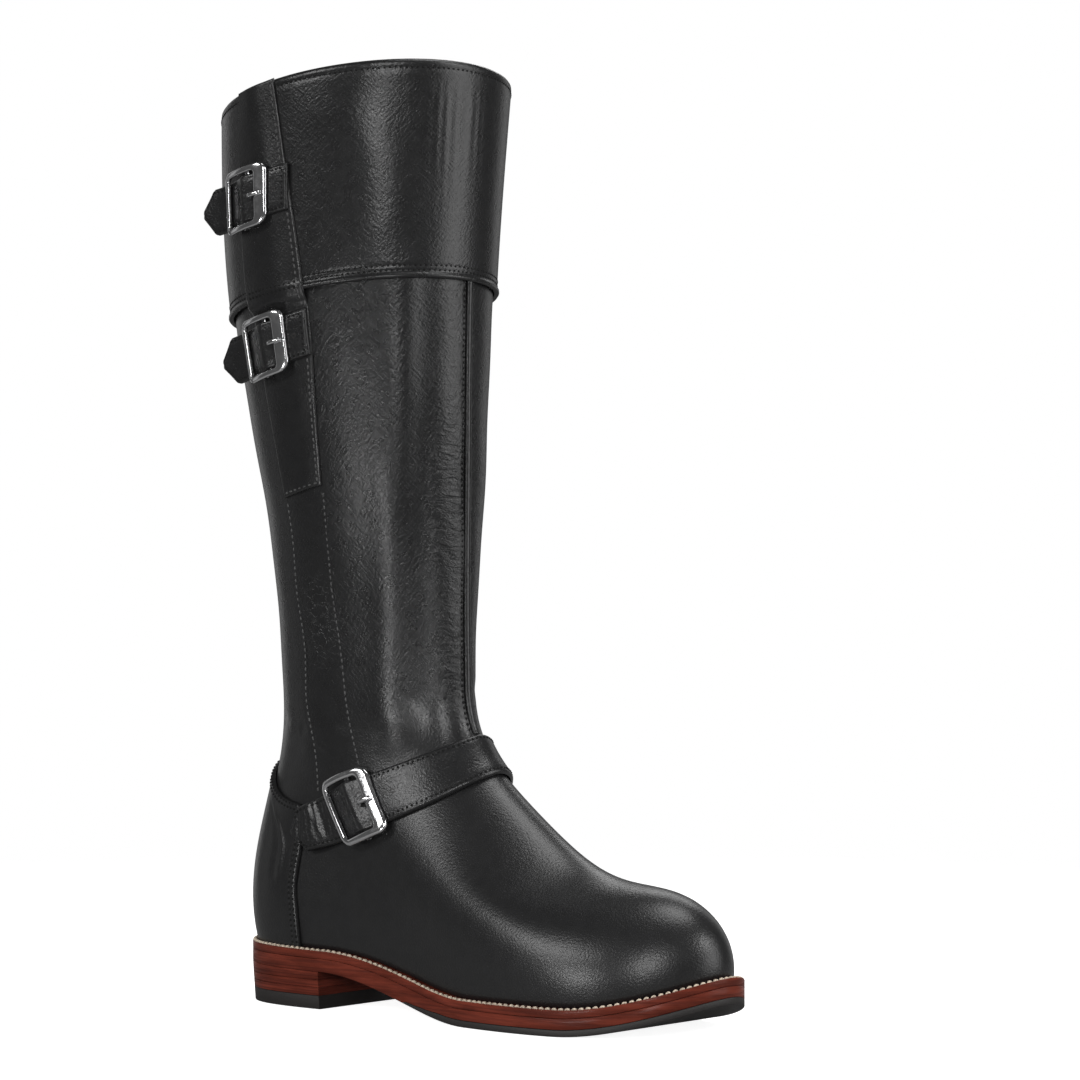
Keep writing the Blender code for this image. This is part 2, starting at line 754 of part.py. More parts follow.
class StrapFrame:
    """Strap coordinates: t along the strap from the buckle, + toward the toe, w up and h outward."""

    def __init__(self, middle, stretch, buckle_u, seat, u_range):
        self.middle = middle
        self.stretch = stretch
        self.seat = seat
        self.u = np.linspace(*u_range, 240)
        z = middle(self.u)
        line = skin_at_height(self.u, z, seat(self.u, z) + STRAP_THICK)
        run = np.concatenate([[0], np.cumsum(np.linalg.norm(np.diff(line, axis=0), axis=1))])
        self.t = np.interp(buckle_u, self.u, run) - run

    def place(self, t, w, h):
        t, w, h = np.broadcast_arrays(*[np.asarray(k, float) for k in (t, w, h)])
        u = np.interp(t, self.t[::-1], self.u[::-1])
        z = self.middle(u) + w * self.stretch(u)
        return skin_at_height(u, z, self.seat(u, z) + h)

    def t_at(self, u):
        return float(np.interp(u, self.u, self.t))


def strap_hump(t):
    return GAP + STRAP_HUMP * np.exp(-((t / STRAP_HUMP_RUN) ** 2))


def strap_half_width(t, tip, width):
    """Half width that narrows to a blunt point at the tip."""
    return width / 2 * np.clip(0.12 + 0.88 * (t - tip) / STRAP_POINT, 0, 1)


def add_strap(pieces, name, frame, stations, width, tip, stand_off=0.0, shear=0.0):
    t = np.array(stations)
    across = np.array([-1.0, -0.2, 0.2, 1.0])[:, None]
    w = across * strap_half_width(t, tip, width)
    ends = ease((t - (t.max() - 30)) / 30)
    grid_t = t + shear * w * ends
    lift = strap_hump(t) + stand_off * np.maximum(-FRAME_LENGTH / 2 + 2 - t, 0) ** 2
    under = frame.place(grid_t, w, lift)
    over = frame.place(grid_t, w, lift + STRAP_THICK)
    solid = np.ones((len(across) - 1, len(t) - 1), bool)
    slot = int(np.argmin(np.abs(t + STRAP_SLOT)))
    solid[1, slot] = False
    pieces.add(name, *shell(under, over, False, solid), BLACK_LEATHER)


def rounded_window(t_low, t_high, half, radius, per_corner=5, per_side=2):
    """Points of a rectangle with round corners, in the order of the four corners."""
    centres = (
        (t_high - radius, half - radius, 0),
        (t_low + radius, half - radius, 90),
        (t_low + radius, -half + radius, 180),
        (t_high - radius, -half + radius, 270),
    )
    corners = []
    for t, w, start in centres:
        angles = np.radians(np.linspace(start, start + 90, per_corner))
        corners.append(np.stack([t + radius * np.cos(angles), w + radius * np.sin(angles)], -1))
    points = []
    for i in range(4):
        points.append(corners[i])
        share = np.linspace(0, 1, per_side + 2)[1:-1, None]
        points.append(corners[i][-1] + share * (corners[(i + 1) % 4][0] - corners[i][-1]))
    return np.concatenate(points)


def add_buckle(pieces, name, frame, width):
    inner_half = width / 2 + FRAME_CLEAR
    outer_half = inner_half + FRAME_RAIL
    reach = FRAME_LENGTH / 2
    outer = rounded_window(-reach, reach, outer_half, FRAME_CORNER)
    inner = rounded_window(-reach + FRAME_BAR_REAR, reach - FRAME_BAR_FRONT, inner_half, WINDOW_CORNER)
    plan = np.stack([inner, outer])
    under = frame.place(plan[..., 0], plan[..., 1], FRAME_LOW)
    over = frame.place(plan[..., 0], plan[..., 1], FRAME_HIGH)
    post_in = inner_half + 0.3
    post_out = outer_half - 0.3
    post_high = (FRAME_LOW + FRAME_HIGH) / 2
    profile = [
        (-post_out, GAP),
        (post_out, GAP),
        (post_out, post_high),
        (post_in, post_high),
        (post_in, BAR_HIGH),
        (-post_in, BAR_HIGH),
        (-post_in, post_high),
        (-post_out, post_high),
    ]
    bar, bar_faces = profile_body(profile, -BAR_HALF, BAR_HALF)
    core = frame.place(bar[:, 0], bar[:, 1], bar[:, 2])
    points, faces = shell(under, over, True)
    pieces.add("buckle_" + name, points, faces, STEEL, (core, bar_faces))


def add_prong(pieces, name, frame):
    """A pin that stands on the centre bar, passes the strap's slot and rests on the front bar."""
    rest = FRAME_HIGH + GAP + PRONG_RADIUS
    path = np.array([
        (0.0, BAR_HIGH + GAP),
        (0.0, rest - 1.6),
        (0.5, rest - 0.5),
        (1.6, rest),
        (6.0, rest),
        (PRONG_REACH - 1, rest),
        (PRONG_REACH, rest),
    ])
    width = np.array([1, 1, 1, 1, 1, 0.85, 0.45])
    run = np.gradient(path, axis=0)
    run /= np.linalg.norm(run, axis=1, keepdims=True)
    angle = np.linspace(0, 2 * np.pi, 8, endpoint=False)
    points = []
    for (t, h), (along_t, along_h), share in zip(path, run, width):
        radius = PRONG_RADIUS * share
        side_t = t - along_h * radius * np.sin(angle)
        side_h = h + along_t * radius * np.sin(angle)
        points.append(frame.place(side_t, radius * np.cos(angle), side_h))
    points = np.array(points)
    sections, around = points.shape[:2]
    faces = [list(range(around)), list(range((sections - 1) * around, sections * around))]
    for i in range(sections - 1):
        for j in range(around):
            k = (j + 1) % around
            faces.append([i * around + j, i * around + k, (i + 1) * around + k, (i + 1) * around + j])
    pieces.add("prong_" + name, points, faces, STEEL)


NEAR_BUCKLE = [-22.0, -18.0, -14.5, -11.5, -9.0, -6.5, -4.5, -3.0, -STRAP_SLOT]
NEAR_BUCKLE += [-t for t in NEAR_BUCKLE[::-1]]


def add_ankle_strap(pieces):
    def middle(u):
        return (STRAP_LOW(u) + STRAP_HIGH(u)) / 2

    def stretch(u):
        return (STRAP_HIGH(u) - STRAP_LOW(u)) / ANKLE_WIDTH

    def seat(u, z):
        over_counter = COUNTER_SEAT + COUNTER_THICK
        return ANKLE_SEAT + over_counter * ease((u - 0.64) / 0.08)

    frame = StrapFrame(middle, stretch, ANKLE_BUCKLE_U, seat, (-0.56, 0.86))
    end = frame.t_at(ANKLE_END_U)
    tail = [ANKLE_TIP, ANKLE_TIP + 4, ANKLE_TIP + STRAP_POINT, ANKLE_TIP + 14]
    stations = tail + NEAR_BUCKLE + np.linspace(27, end, 21).tolist()
    add_strap(pieces, "ankle_strap", frame, stations, ANKLE_WIDTH, ANKLE_TIP, shear=ANKLE_END_SHEAR)
    add_buckle(pieces, "ankle", frame, ANKLE_WIDTH)
    add_prong(pieces, "ankle", frame)


def add_calf_strap(pieces, name, buckle_u, sewn_z, buckle_z, sewn_u, tip):
    def middle(u):
        return buckle_z + (sewn_z - buckle_z) * (buckle_u - u) / (buckle_u - sewn_u)

    def stretch(u):
        return np.ones(np.shape(u))

    def seat(u, z):
        return flap_seat(u, z) + FLAP_THICK

    frame = StrapFrame(middle, stretch, buckle_u, seat, (sewn_u - 0.03, buckle_u + 0.20))
    end = frame.t_at(sewn_u)
    stations = [tip, tip + 4] + [t for t in NEAR_BUCKLE if t < end - 2] + [end]
    add_strap(pieces, "calf_strap_" + name, frame, stations, CALF_WIDTH, tip, TIP_STAND_OFF)
    add_buckle(pieces, "calf_" + name, frame, CALF_WIDTH)
    add_prong(pieces, "calf_" + name, frame)


def sole_outline(inset, samples=720):
    """Outer and inner side of the sole's outline from toe to heel, moved in by inset."""
    u = np.linspace(-1, 1, samples, endpoint=False)
    edge = EDGE_SPLINE(np.abs(u)) if inset is None else -np.full(u.shape, float(inset))
    line = feather(u) + outward(u) * edge[:, None]
    line = np.roll(line, -int(np.argmin(line[:, 1])), axis=0)
    heel = int(np.argmax(line[:, 1]))
    first = line[: heel + 1]
    second = np.concatenate([line[heel:], line[:1]])[::-1]
    return (first, second) if first[heel // 2, 0] < second[len(second) // 2, 0] else (second, first)


def grown(outline, edge):
    """The outline moved out by a further edge."""
    left, right = outline
    closed = np.concatenate([left, right[-2:0:-1]])
    along = np.roll(closed, -3, axis=0) - np.roll(closed, 3, axis=0)
    normal = np.stack([-along[:, 1], along[:, 0]], -1)
    normal /= np.linalg.norm(normal, axis=1, keepdims=True)
    moved = closed + normal * edge
    count = len(left)
    return moved[:count], np.concatenate([moved[:1], moved[: count - 2 : -1]])


def end_stations(low, high, round_low, round_high):
    """Stations along y, close together where an end is round."""
    middle_low, middle_high = low, high
    stations = []
    if round_low:
        middle_low = low + 40
        stations += [low + 40 * (1 - math.cos(math.radians(a))) for a in (0, 12, 24, 36, 48, 60, 72)]
    if round_high:
        middle_high = high - 34
    count = max(int((middle_high - middle_low) / 11), 2)
    stations += np.linspace(middle_low, middle_high, count + 1).tolist()
    if round_high:
        stations += [high - 34 * (1 - math.cos(math.radians(a))) for a in (72, 60, 48, 36, 24, 12, 0)]
    return np.array(stations)


def rungs(outline, y, z):
    """Left and right points of an outline at the stations y, at the heights z."""
    sides = []
    for line in outline:
        order = np.argsort(line[:, 1])
        x = np.interp(y, line[order, 1], line[order, 0])
        sides.append(np.stack([x, y, z], -1))
    left, right = sides
    for end in (0, -1):
        if abs(left[end, 0] - right[end, 0]) < 1.0:
            left[end, 0] = right[end, 0] = (left[end, 0] + right[end, 0]) / 2
    return left, right


def rubber_top(y):
    share = np.clip((RUBBER_REAR_Y - y) / RUBBER_SKIVE, 0, 1)
    return sole_bottom(y) + RUBBER_EDGE + (RUBBER_THICK - RUBBER_EDGE) * share


def add_sole(pieces):
    outline = sole_outline(None)
    low_y = outline[0][:, 1].min()
    high_y = outline[0][:, 1].max()

    u = np.linspace(-1, 1, 2 * COLUMNS + 4, endpoint=False)
    edges = np.stack([
        feather(u) - outward(u) * WELT_INSET,
        feather(u) + outward(u) * EDGE_SPLINE(np.abs(u))[:, None],
    ])
    top = sole_top(edges[..., 1])[..., None]
    under = np.concatenate([edges, top - WELT_THICK], -1)
    pieces.add("welt", *shell(under, np.concatenate([edges, top], -1), True), BROWN_LEATHER)

    y = end_stations(low_y, high_y, True, True)
    step = [RUBBER_REAR_Y + GAP / 2, RUBBER_REAR_Y + GAP]
    y = np.sort(np.concatenate([y[np.abs(y - RUBBER_REAR_Y) > 3], step]))
    under_z = np.where(y <= step[0], rubber_top(y) + GAP, sole_bottom(y))
    loops = [rungs(outline, y, under_z), rungs(outline, y, sole_top(y) - WELT_THICK - GAP)]
    pieces.add("outsole", *stack(loops), BROWN_LEATHER)

    y = end_stations(low_y, RUBBER_REAR_Y, True, False)
    y = np.sort(np.concatenate([y, [SPRING_Y, CONTACT_REAR_Y]]))
    loops = [rungs(outline, y, sole_bottom(y)), rungs(outline, y, rubber_top(y))]
    pieces.add("forefoot_rubber", *stack(loops), BLACK_RUBBER)

    plug = sole_outline(WELT_INSET + 2 * GAP)
    flange = sole_outline(INSOLE_INSET)
    plug_y = end_stations(plug[0][:, 1].min(), plug[0][:, 1].max(), True, True)
    flange_y = end_stations(flange[0][:, 1].min(), flange[0][:, 1].max(), True, True)
    count = min(len(plug_y), len(flange_y))
    plug_y = np.interp(np.linspace(0, 1, count), np.linspace(0, 1, len(plug_y)), plug_y)
    flange_y = np.interp(np.linspace(0, 1, count), np.linspace(0, 1, len(flange_y)), flange_y)
    loops = [
        rungs(plug, plug_y, sole_top(plug_y) - WELT_THICK),
        rungs(plug, plug_y, sole_top(plug_y) + GAP),
        rungs(flange, flange_y, sole_top(flange_y) + GAP),
        rungs(flange, flange_y, sole_top(flange_y) + INSOLE_RISE),
    ]
    pieces.add("insole", *stack(loops), LINING_LEATHER)

    seat_y = end_stations(BREAST_Y, high_y, False, True)
    layer = (BREAST_RISE - GAP - TOP_PIECE) / LIFT_COUNT
    for i in range(LIFT_COUNT + 1):
        base = TOP_PIECE + GAP + (i - 1) * layer if i else 0.0
        roof = TOP_PIECE + i * layer
        shares = [1 - height / BREAST_RISE for height in (base, roof)]
        bodies = []
        for height, share in zip((base, roof), shares):
            shape = grown(outline, -HEEL_TAPER * max(share, 0))
            y = seat_y.copy()
            y[-1] = shape[0][:, 1].max()
            y[:-1] = np.minimum(y[:-1], y[-1] - 0.05 * np.arange(len(y) - 1, 0, -1) / len(y))
            z = np.full(y.shape, height)
            if i == LIFT_COUNT and height == roof:
                z = sole_bottom(y) - GAP
            bodies.append(rungs(shape, y, z))
        name = f"heel_lift_{LIFT_COUNT + 1 - i}" if i else "heel_top_piece"
        pieces.add(name, *stack(bodies), BROWN_LEATHER if i else BLACK_RUBBER)


def clear_scene():
    for old in list(bpy.data.objects):
        bpy.data.objects.remove(old, do_unlink=True)


def main():
    clear_scene()
    pieces = Pieces()
    add_upper(pieces)
    add_cuff(pieces)
    add_counter(pieces)
    add_flap(pieces)
    add_piping(pieces)
    add_zip(pieces)
    add_slider(pieces)
    add_ankle_strap(pieces)
    for row in CALF_STRAPS:
        add_calf_strap(pieces, *row)
    add_sole(pieces)
    pieces.write()


if __name__ == "__main__":
    main()
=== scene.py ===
"""Looks of a tall riding boot for the right foot, made around its solids.

A place on the upper is (u, v): u runs round the boot from the toe (0) over the outer side to the
back of the heel (1), and from 0 to -1 over the inner side. v runs from the sole (0) to the ankle
(1) and on to the collar (2). Sizes are millimetres until a mesh is written.
"""

import math

import bmesh
import bpy
import numpy as np
from bpy.props import FloatProperty, FloatVectorProperty, PointerProperty
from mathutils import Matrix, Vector


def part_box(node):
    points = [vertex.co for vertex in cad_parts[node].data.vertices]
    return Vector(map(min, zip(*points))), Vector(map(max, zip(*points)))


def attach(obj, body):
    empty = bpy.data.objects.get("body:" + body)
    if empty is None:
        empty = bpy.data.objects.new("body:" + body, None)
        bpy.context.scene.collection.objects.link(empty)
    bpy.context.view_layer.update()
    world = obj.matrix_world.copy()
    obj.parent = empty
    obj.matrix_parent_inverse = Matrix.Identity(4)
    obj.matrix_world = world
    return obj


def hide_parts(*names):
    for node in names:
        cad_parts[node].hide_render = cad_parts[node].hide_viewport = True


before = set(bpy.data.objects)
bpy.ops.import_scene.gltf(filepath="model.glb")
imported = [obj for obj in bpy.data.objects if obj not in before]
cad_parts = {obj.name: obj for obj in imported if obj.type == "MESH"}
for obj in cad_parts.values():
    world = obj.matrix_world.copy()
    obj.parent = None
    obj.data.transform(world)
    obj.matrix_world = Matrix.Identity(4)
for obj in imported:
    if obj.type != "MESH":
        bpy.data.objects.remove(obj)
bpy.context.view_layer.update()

bl_info = {
    "name": "Tall riding boot",
    "version": (1, 0, 0),
    "blender": (4, 5, 0),
    "location": "View3D > Sidebar > Boot",
    "description": "Dresses the solids of a tall riding boot in leather, thread and steel",
    "category": "Object",
}

MM = 0.001
GAP = 0.3
ANKLE_Z = 150.0
WALL = 2.2
LEATHER = 1.2
VAMP_DIP = 12.5
VAMP_DIP_V = 0.50
VAMP_DIP_RUN = 0.17
VAMP_DIP_SHARE = 0.28
HEEL_BACK_Y = 131.0
TOE_TIP_Y = -131.0
TOE_SWING = 6.0

# Half widths of the feather line: y, outer, inner
FEATHER = (
    (118.0, 24.0, 24.0),
    (100.0, 31.0, 31.0),
    (70.0, 33.0, 31.0),
    (40.0, 33.5, 28.0),
    (10.0, 36.0, 27.5),
    (-20.0, 41.0, 32.0),
    (-50.0, 44.0, 39.5),
    (-75.0, 42.5, 41.5),
    (-100.0, 34.5, 38.5),
    (-118.0, 21.0, 28.5),
)

# Level sections of the leg: z, front_y, back_y, outer half width, inner half width, egg
LEG = (
    (150.0, 12.5, 119.0, 31.0, 31.0, 0.12),
    (175.0, 13.0, 120.0, 33.0, 34.5, 0.10),
    (254.0, 12.5, 128.5, 46.0, 47.5, 0.05),
    (328.0, 11.5, 141.5, 55.5, 54.0, 0.00),
    (436.0, 4.5, 143.5, 62.0, 62.0, 0.00),
)

# Wall of the foot between feather line and ankle: share from toe to heel, bulge, rise, drop
FOOT_WALL = (
    (0.00, 8.5, 63.0, 78.0),
    (0.15, 9.0, 52.0, 76.0),
    (0.35, 7.0, 45.0, 70.0),
    (0.55, 3.0, 40.0, 62.0),
    (0.75, 4.5, 42.0, 55.0),
    (1.00, 11.0, 42.0, 45.0),
)

# Slanted edges of the shaft: mean height, rise to the front, rise to the outer side
COLLAR_EDGE = (421.5, 12.9, 6.7)
CUFF_EDGE = (326.0, 10.9, 4.9)

# Sole and heel
BREAST_Y = 72.0
BREAST_RISE = 17.6
SEAT_SLOPE = 0.015
CONTACT_REAR_Y = -24.0
SPRING_Y = -75.0
SPRING_BEND = 0.0038
SOLE_FORE = 11.8
SOLE_SEAT = 9.6
SEAT_FROM_Y = 10.0
SEAT_TO_Y = 75.0
WELT_THICK = 3.6
WELT_INSET = 7.0
RUBBER_THICK = 3.0
RUBBER_EDGE = 0.9
RUBBER_REAR_Y = 18.0
RUBBER_SKIVE = 24.0
TOP_PIECE = 6.3
LIFT_COUNT = 3
HEEL_TAPER = 1.2
INSOLE_RISE = 2.8
INSOLE_INSET = 2.9
SOLE_EDGE = ((0.00, 5.0), (0.35, 5.0), (0.60, 4.0), (1.00, 4.6))

# Overlays
CUFF_THICK = 1.6
CUFF_LIP = 1.0
CUFF_ZIP_SIDE = 3.0
COUNTER_SEAT = 0.5
COUNTER_THICK = 1.5
COUNTER_BAND = 4.2
FLAP_THICK = 1.5
FLAP_REAR_U = 0.60
FLAP_RAMP = 7.0
FLAP_LOW = (243.0, 237.0)
PIPING_HALF = 1.8
PIPING_HIGH = 1.7
FLAP_FRONT = ((240.0, 0.465), (275.0, 0.445), (310.0, 0.430), (370.0, 0.450), (430.0, 0.500))
COUNTER_TOP = ((0.00, 94.0), (0.35, 98.0), (0.70, 108.0), (1.00, 116.0))
COUNTER_FRONT_LOW = 0.795
COUNTER_FRONT_HIGH = 0.745

# Zip down the inner side: v, u
ZIP_PATH = (
    (0.60, -0.530),
    (0.70, -0.505),
    (0.80, -0.472),
    (0.97, -0.440),
    (1.07, -0.436),
    (1.20, -0.450),
    (1.40, -0.472),
    (1.70, -0.486),
    (2.00, -0.494),
)
ZIP_LOW_V = 0.60
ZIP_HALF = 4.2
ZIP_INNER = -2.0
ZIP_OUTER = -0.6
COIL_PITCH = 1.4
COIL_TOOTH = ((-0.5, 0.25), (-0.2, 0.5), (1.4, 0.52), (1.9, 0.42), (2.1, 0.2))
SLIDER_V = 1.93
SLIDER_LENGTH = 11.0
SLIDER_WIDTH = 6.8
SLIDER_HIGH = 3.4
EAR_LENGTH = 3.4
EAR_WALL = 1.0
PULL_WIDTH = 3.8
PULL_THICK = 1.6

# Half outline of the pull tab: along it from the hinge, share of its half width
PULL_OUTLINE = (
    (0.75, 0.85),
    (0.2, 0.95),
    (-3.0, 0.95),
    (-7.0, 0.72),
    (-11.0, 0.72),
    (-14.0, 1.0),
    (-20.0, 1.0),
    (-22.6, 0.85),
    (-23.7, 0.5),
)

# Straps and buckles
STRAP_THICK = 2.0
STRAP_HUMP = 2.5
STRAP_HUMP_RUN = 4.5
STRAP_POINT = 8.0
STRAP_SEAM = 1.9
CALF_POINT = 5.5
ANKLE_WIDTH = 20.0
CALF_WIDTH = 21.5
FRAME_LENGTH = 29.0
FRAME_BAR_FRONT = 6.3
FRAME_BAR_REAR = 3.4
FRAME_RAIL = 2.8
FRAME_CLEAR = 0.7
FRAME_LOW = 2.6
FRAME_HIGH = 4.8
FRAME_CORNER = 5.0
FRAME_BOW = 1.4
WINDOW_CORNER = 1.8
BAR_HALF = 1.2
BAR_HIGH = 2.3
PRONG_RADIUS = 1.0
PRONG_REACH = 13.0
ANKLE_STRAP = (
    (-0.52, 86.0, 108.0),
    (-0.44, 90.5, 111.5),
    (-0.26, 99.0, 119.0),
    (-0.10, 107.5, 125.5),
    (0.00, 110.0, 127.5),
    (0.10, 107.5, 125.5),
    (0.26, 99.0, 119.0),
    (0.44, 88.5, 110.0),
    (0.54, 83.0, 105.0),
    (0.65, 77.0, 98.0),
    (0.82, 68.5, 88.0),
)
ANKLE_BUCKLE_U = 0.522
ANKLE_TIP = -44.0
ANKLE_END_U = -0.437
ANKLE_END_SHEAR = 0.34
ANKLE_SEAT = 0.6

# Calf straps: name, buckle u, middle z at the sewn end, middle z at the buckle, sewn end u, tip
CALF_STRAPS = (
    ("upper", 0.560, 380.0, 375.0, 0.457, -30.0),
    ("lower", 0.552, 313.5, 307.5, 0.432, -30.0),
)
TIP_STAND_OFF = 0.026

# Seams of the lining's pocket under the flap: z, u of the rear row, u of the front row
LOWER_SEAMS = (
    (98.0, 0.668, 0.480),
    (122.0, 0.622, 0.469),
    (143.0, 0.624, 0.471),
    (164.0, 0.614, 0.475),
    (194.0, 0.624, 0.484),
    (215.0, 0.608, 0.477),
    (240.0, 0.600, 0.464),
)

# Creases of the shaft and foot: u, z at one end, u, z at the other, width, height
CREASES = (
    (0.700, 118.0, 0.615, 121.0, 2.2, 0.50),
    (0.625, 124.0, 0.560, 120.0, 2.4, 0.45),
    (0.690, 127.0, 0.640, 131.0, 3.0, -0.40),
    (0.600, 112.0, 0.520, 116.0, 3.0, -0.35),
    (0.560, 130.0, 0.470, 126.0, 4.0, 0.30),
    (0.760, 128.0, 0.690, 134.0, 3.2, 0.35),
    (0.420, 128.0, 0.330, 134.0, 4.5, -0.35),
    (0.300, 140.0, 0.200, 134.0, 4.5, 0.30),
    (0.830, 130.0, 0.760, 136.0, 3.5, -0.30),
    (-0.690, 122.0, -0.610, 126.0, 2.6, 0.45),
    (-0.800, 130.0, -0.700, 133.0, 3.4, -0.40),
    (-0.300, 136.0, -0.200, 132.0, 4.0, 0.30),
    (-0.180, 150.0, -0.080, 146.0, 4.0, -0.35),
)
SEAM_CREASES = ((0.020, 0.130, 148.0, 190.0, 26), (0.020, 0.125, 208.0, 262.0, 30))
CREASE_SEED = 11

# Mesh of the upper: columns on both sides, steps beside the zip, rows and rounded edges
UPPER_OUTER = 230
UPPER_INNER = 62
EDGE_STEPS = (1.6, 0.8, 0.3, 0.0)
INNER_ROW_STEP = 5
ZIP_LOW_ROW = 60
CUFF_COVERS_V = 1.72
CREASE_FLOOR = -0.95
FEATHER_ROLL = 2.0
ZIP_ROLL = 1.6
ZIP_ROLL_HIGH = 0.9
FAR = 99.0

# Leather: roughness where polished and plain, dark and light tone, heights of its marks
LEATHER_ROUGH = (0.27, 0.31)
LEATHER_TONES = (0.95, 1.06)
TONE_ROUGH = 0.02
HATCH_HIGH = 0.115
CRACKLE_HIGH = 0.22
CRUMPLE_HIGH = 0.28
LAY_WIDTH = 170.0

# Stitches: pitch, length and thickness as shares of the seam's pitch and thread
BLACK_STITCH = (0.85, 0.5, 1.25)
GREY_STITCH = (1.0, 0.72, 1.0)
WELT_STITCH = 0.84
WELT_SEAM_SHARE = 0.78

# View of the photograph: turn to the outer side, distance, height, focal length in picture sizes
VIEW_TURN = 50.0
VIEW_DISTANCE = 2036.0
VIEW_HEIGHT = 243.0
VIEW_LENS = 4438.0 / 1080.0
VIEW_AIM_RIGHT = 0.01172
VIEW_AIM_UP = -0.01239
SENSOR = 36.0


class BootSizes(bpy.types.PropertyGroup):
    """Sizes that change the look of the boot without changing its form."""

    seam_pitch: FloatProperty(
        name="Seam pitch",
        description="Distance from stitch to stitch in the upper",
        default=0.0030,
        unit="LENGTH",
    )
    welt_pitch: FloatProperty(
        name="Welt pitch",
        description="Distance from stitch to stitch on the welt",
        default=0.0033,
        unit="LENGTH",
    )
    thread: FloatProperty(
        name="Thread",
        description="Thickness of the seam thread",
        default=0.0009,
        unit="LENGTH",
    )
    welt_thread: FloatProperty(
        name="Welt thread",
        description="Thickness of the waxed welt thread",
        default=0.0019,
        unit="LENGTH",
    )
    grain: FloatProperty(
        name="Grain",
        description="Height of the leather's grain",
        default=0.00008,
        unit="LENGTH",
        precision=6,
    )


class BootColours(bpy.types.PropertyGroup):
    """Colours of the boot's materials."""

    leather: FloatVectorProperty(
        name="Leather",
        description="Black of the upper",
        default=(0.0138, 0.0138, 0.0142),
        subtype="COLOR",
    )
    edge_red: FloatVectorProperty(
        name="Edge",
        description="Light tone of the burnished edge",
        default=(0.195, 0.040, 0.024),
        subtype="COLOR",
    )
    edge_dark: FloatVectorProperty(
        name="Edge lines",
        description="Dark tone of the burnished edge",
        default=(0.040, 0.010, 0.008),
        subtype="COLOR",
    )
    welt_thread: FloatVectorProperty(
        name="Welt thread",
        description="Waxed thread of the welt",
        default=(0.72, 0.60, 0.47),
        subtype="COLOR",
    )
    seam_thread: FloatVectorProperty(
        name="Seam thread",
        description="Worn thread of the flap",
        default=(0.10, 0.10, 0.10),
        subtype="COLOR",
    )
    lining: FloatVectorProperty(
        name="Lining",
        description="Leather inside the shaft",
        default=(0.060, 0.050, 0.044),
        subtype="COLOR",
    )
    steel: FloatVectorProperty(
        name="Steel",
        description="Polished buckles",
        default=(0.80, 0.80, 0.81),
        subtype="COLOR",
    )


def natural_spline(knots, values):
    """Smooth curve through the values, straight at both ends."""
    knots = np.asarray(knots, float)
    values = np.asarray(values, float)
    gaps = np.diff(knots)
    last = len(knots) - 1
    system = np.eye(last + 1)
    right = np.zeros(last + 1)
    for i in range(1, last):
        system[i, i - 1 : i + 2] = gaps[i - 1], 2 * (gaps[i - 1] + gaps[i]), gaps[i]
        rise_after = (values[i + 1] - values[i]) / gaps[i]
        rise_before = (values[i] - values[i - 1]) / gaps[i - 1]
        right[i] = 6 * (rise_after - rise_before)
    bends = np.linalg.solve(system, right)

    def at(place):
        place = np.asarray(place, float)
        i = np.clip(np.searchsorted(knots, place) - 1, 0, last - 1)
        a = (knots[i + 1] - place) / gaps[i]
        b = 1 - a
        cubic = (a**3 - a) * bends[i] + (b**3 - b) * bends[i + 1]
        return a * values[i] + b * values[i + 1] + cubic * gaps[i] ** 2 / 6

    return at


def even_spline(shares, values):
    """Smooth curve over shares from 0 to 1 that runs level at both ends."""
    shares = np.asarray(shares, float)
    values = np.asarray(values, float)
    knots = np.concatenate([-shares[:0:-1], shares, 2 - shares[-2::-1]])
    return natural_spline(knots, np.concatenate([values[:0:-1], values, values[-2::-1]]))


def closed_spline(points, per_span):
    """Points of a smooth closed curve through the given points."""
    points = np.asarray(points, float)
    count = len(points)
    gaps = np.linalg.norm(np.roll(points, -1, axis=0) - points, axis=1)
    system = np.zeros((count, count))
    right = np.zeros((count, 2))
    for i in range(count):
        before = (i - 1) % count
        after = (i + 1) % count
        system[i, before] = gaps[before]
        system[i, i] = 2 * (gaps[before] + gaps[i])
        system[i, after] = gaps[i]
        rise_after = (points[after] - points[i]) / gaps[i]
        rise_before = (points[i] - points[before]) / gaps[before]
        right[i] = 6 * (rise_after - rise_before)
    bends = np.linalg.solve(system, right)
    b = np.linspace(0, 1, per_span, endpoint=False)[:, None]
    a = 1 - b
    spans = []
    for i in range(count):
        after = (i + 1) % count
        cubic = (a**3 - a) * bends[i] + (b**3 - b) * bends[after]
        spans.append(a * points[i] + b * points[after] + cubic * gaps[i] ** 2 / 6)
    return np.concatenate(spans)


def ease(share):
    """Smooth step from 0 to 1."""
    share = np.clip(share, 0, 1)
    return share * share * (3 - 2 * share)


def roll(distance, radius):
    """Quarter round from 0 at an edge to 1 a radius away from it."""
    share = 1 - np.clip(np.asarray(distance, float) / radius, 0, 1)
    return np.sqrt(np.maximum(1 - share * share, 0))


def unit(vectors):
    """Vectors of length 1 in the same directions."""
    return vectors / np.linalg.norm(vectors, axis=-1, keepdims=True)


def circle(count):
    """Angles once round, without the last."""
    return np.linspace(0, 2 * np.pi, count, endpoint=False)


def column(table, index):
    return [row[index] for row in table]


def run_length(points):
    """Length along a line of points, from its start."""
    return np.concatenate([[0], np.cumsum(np.linalg.norm(np.diff(points, axis=0), axis=1))])


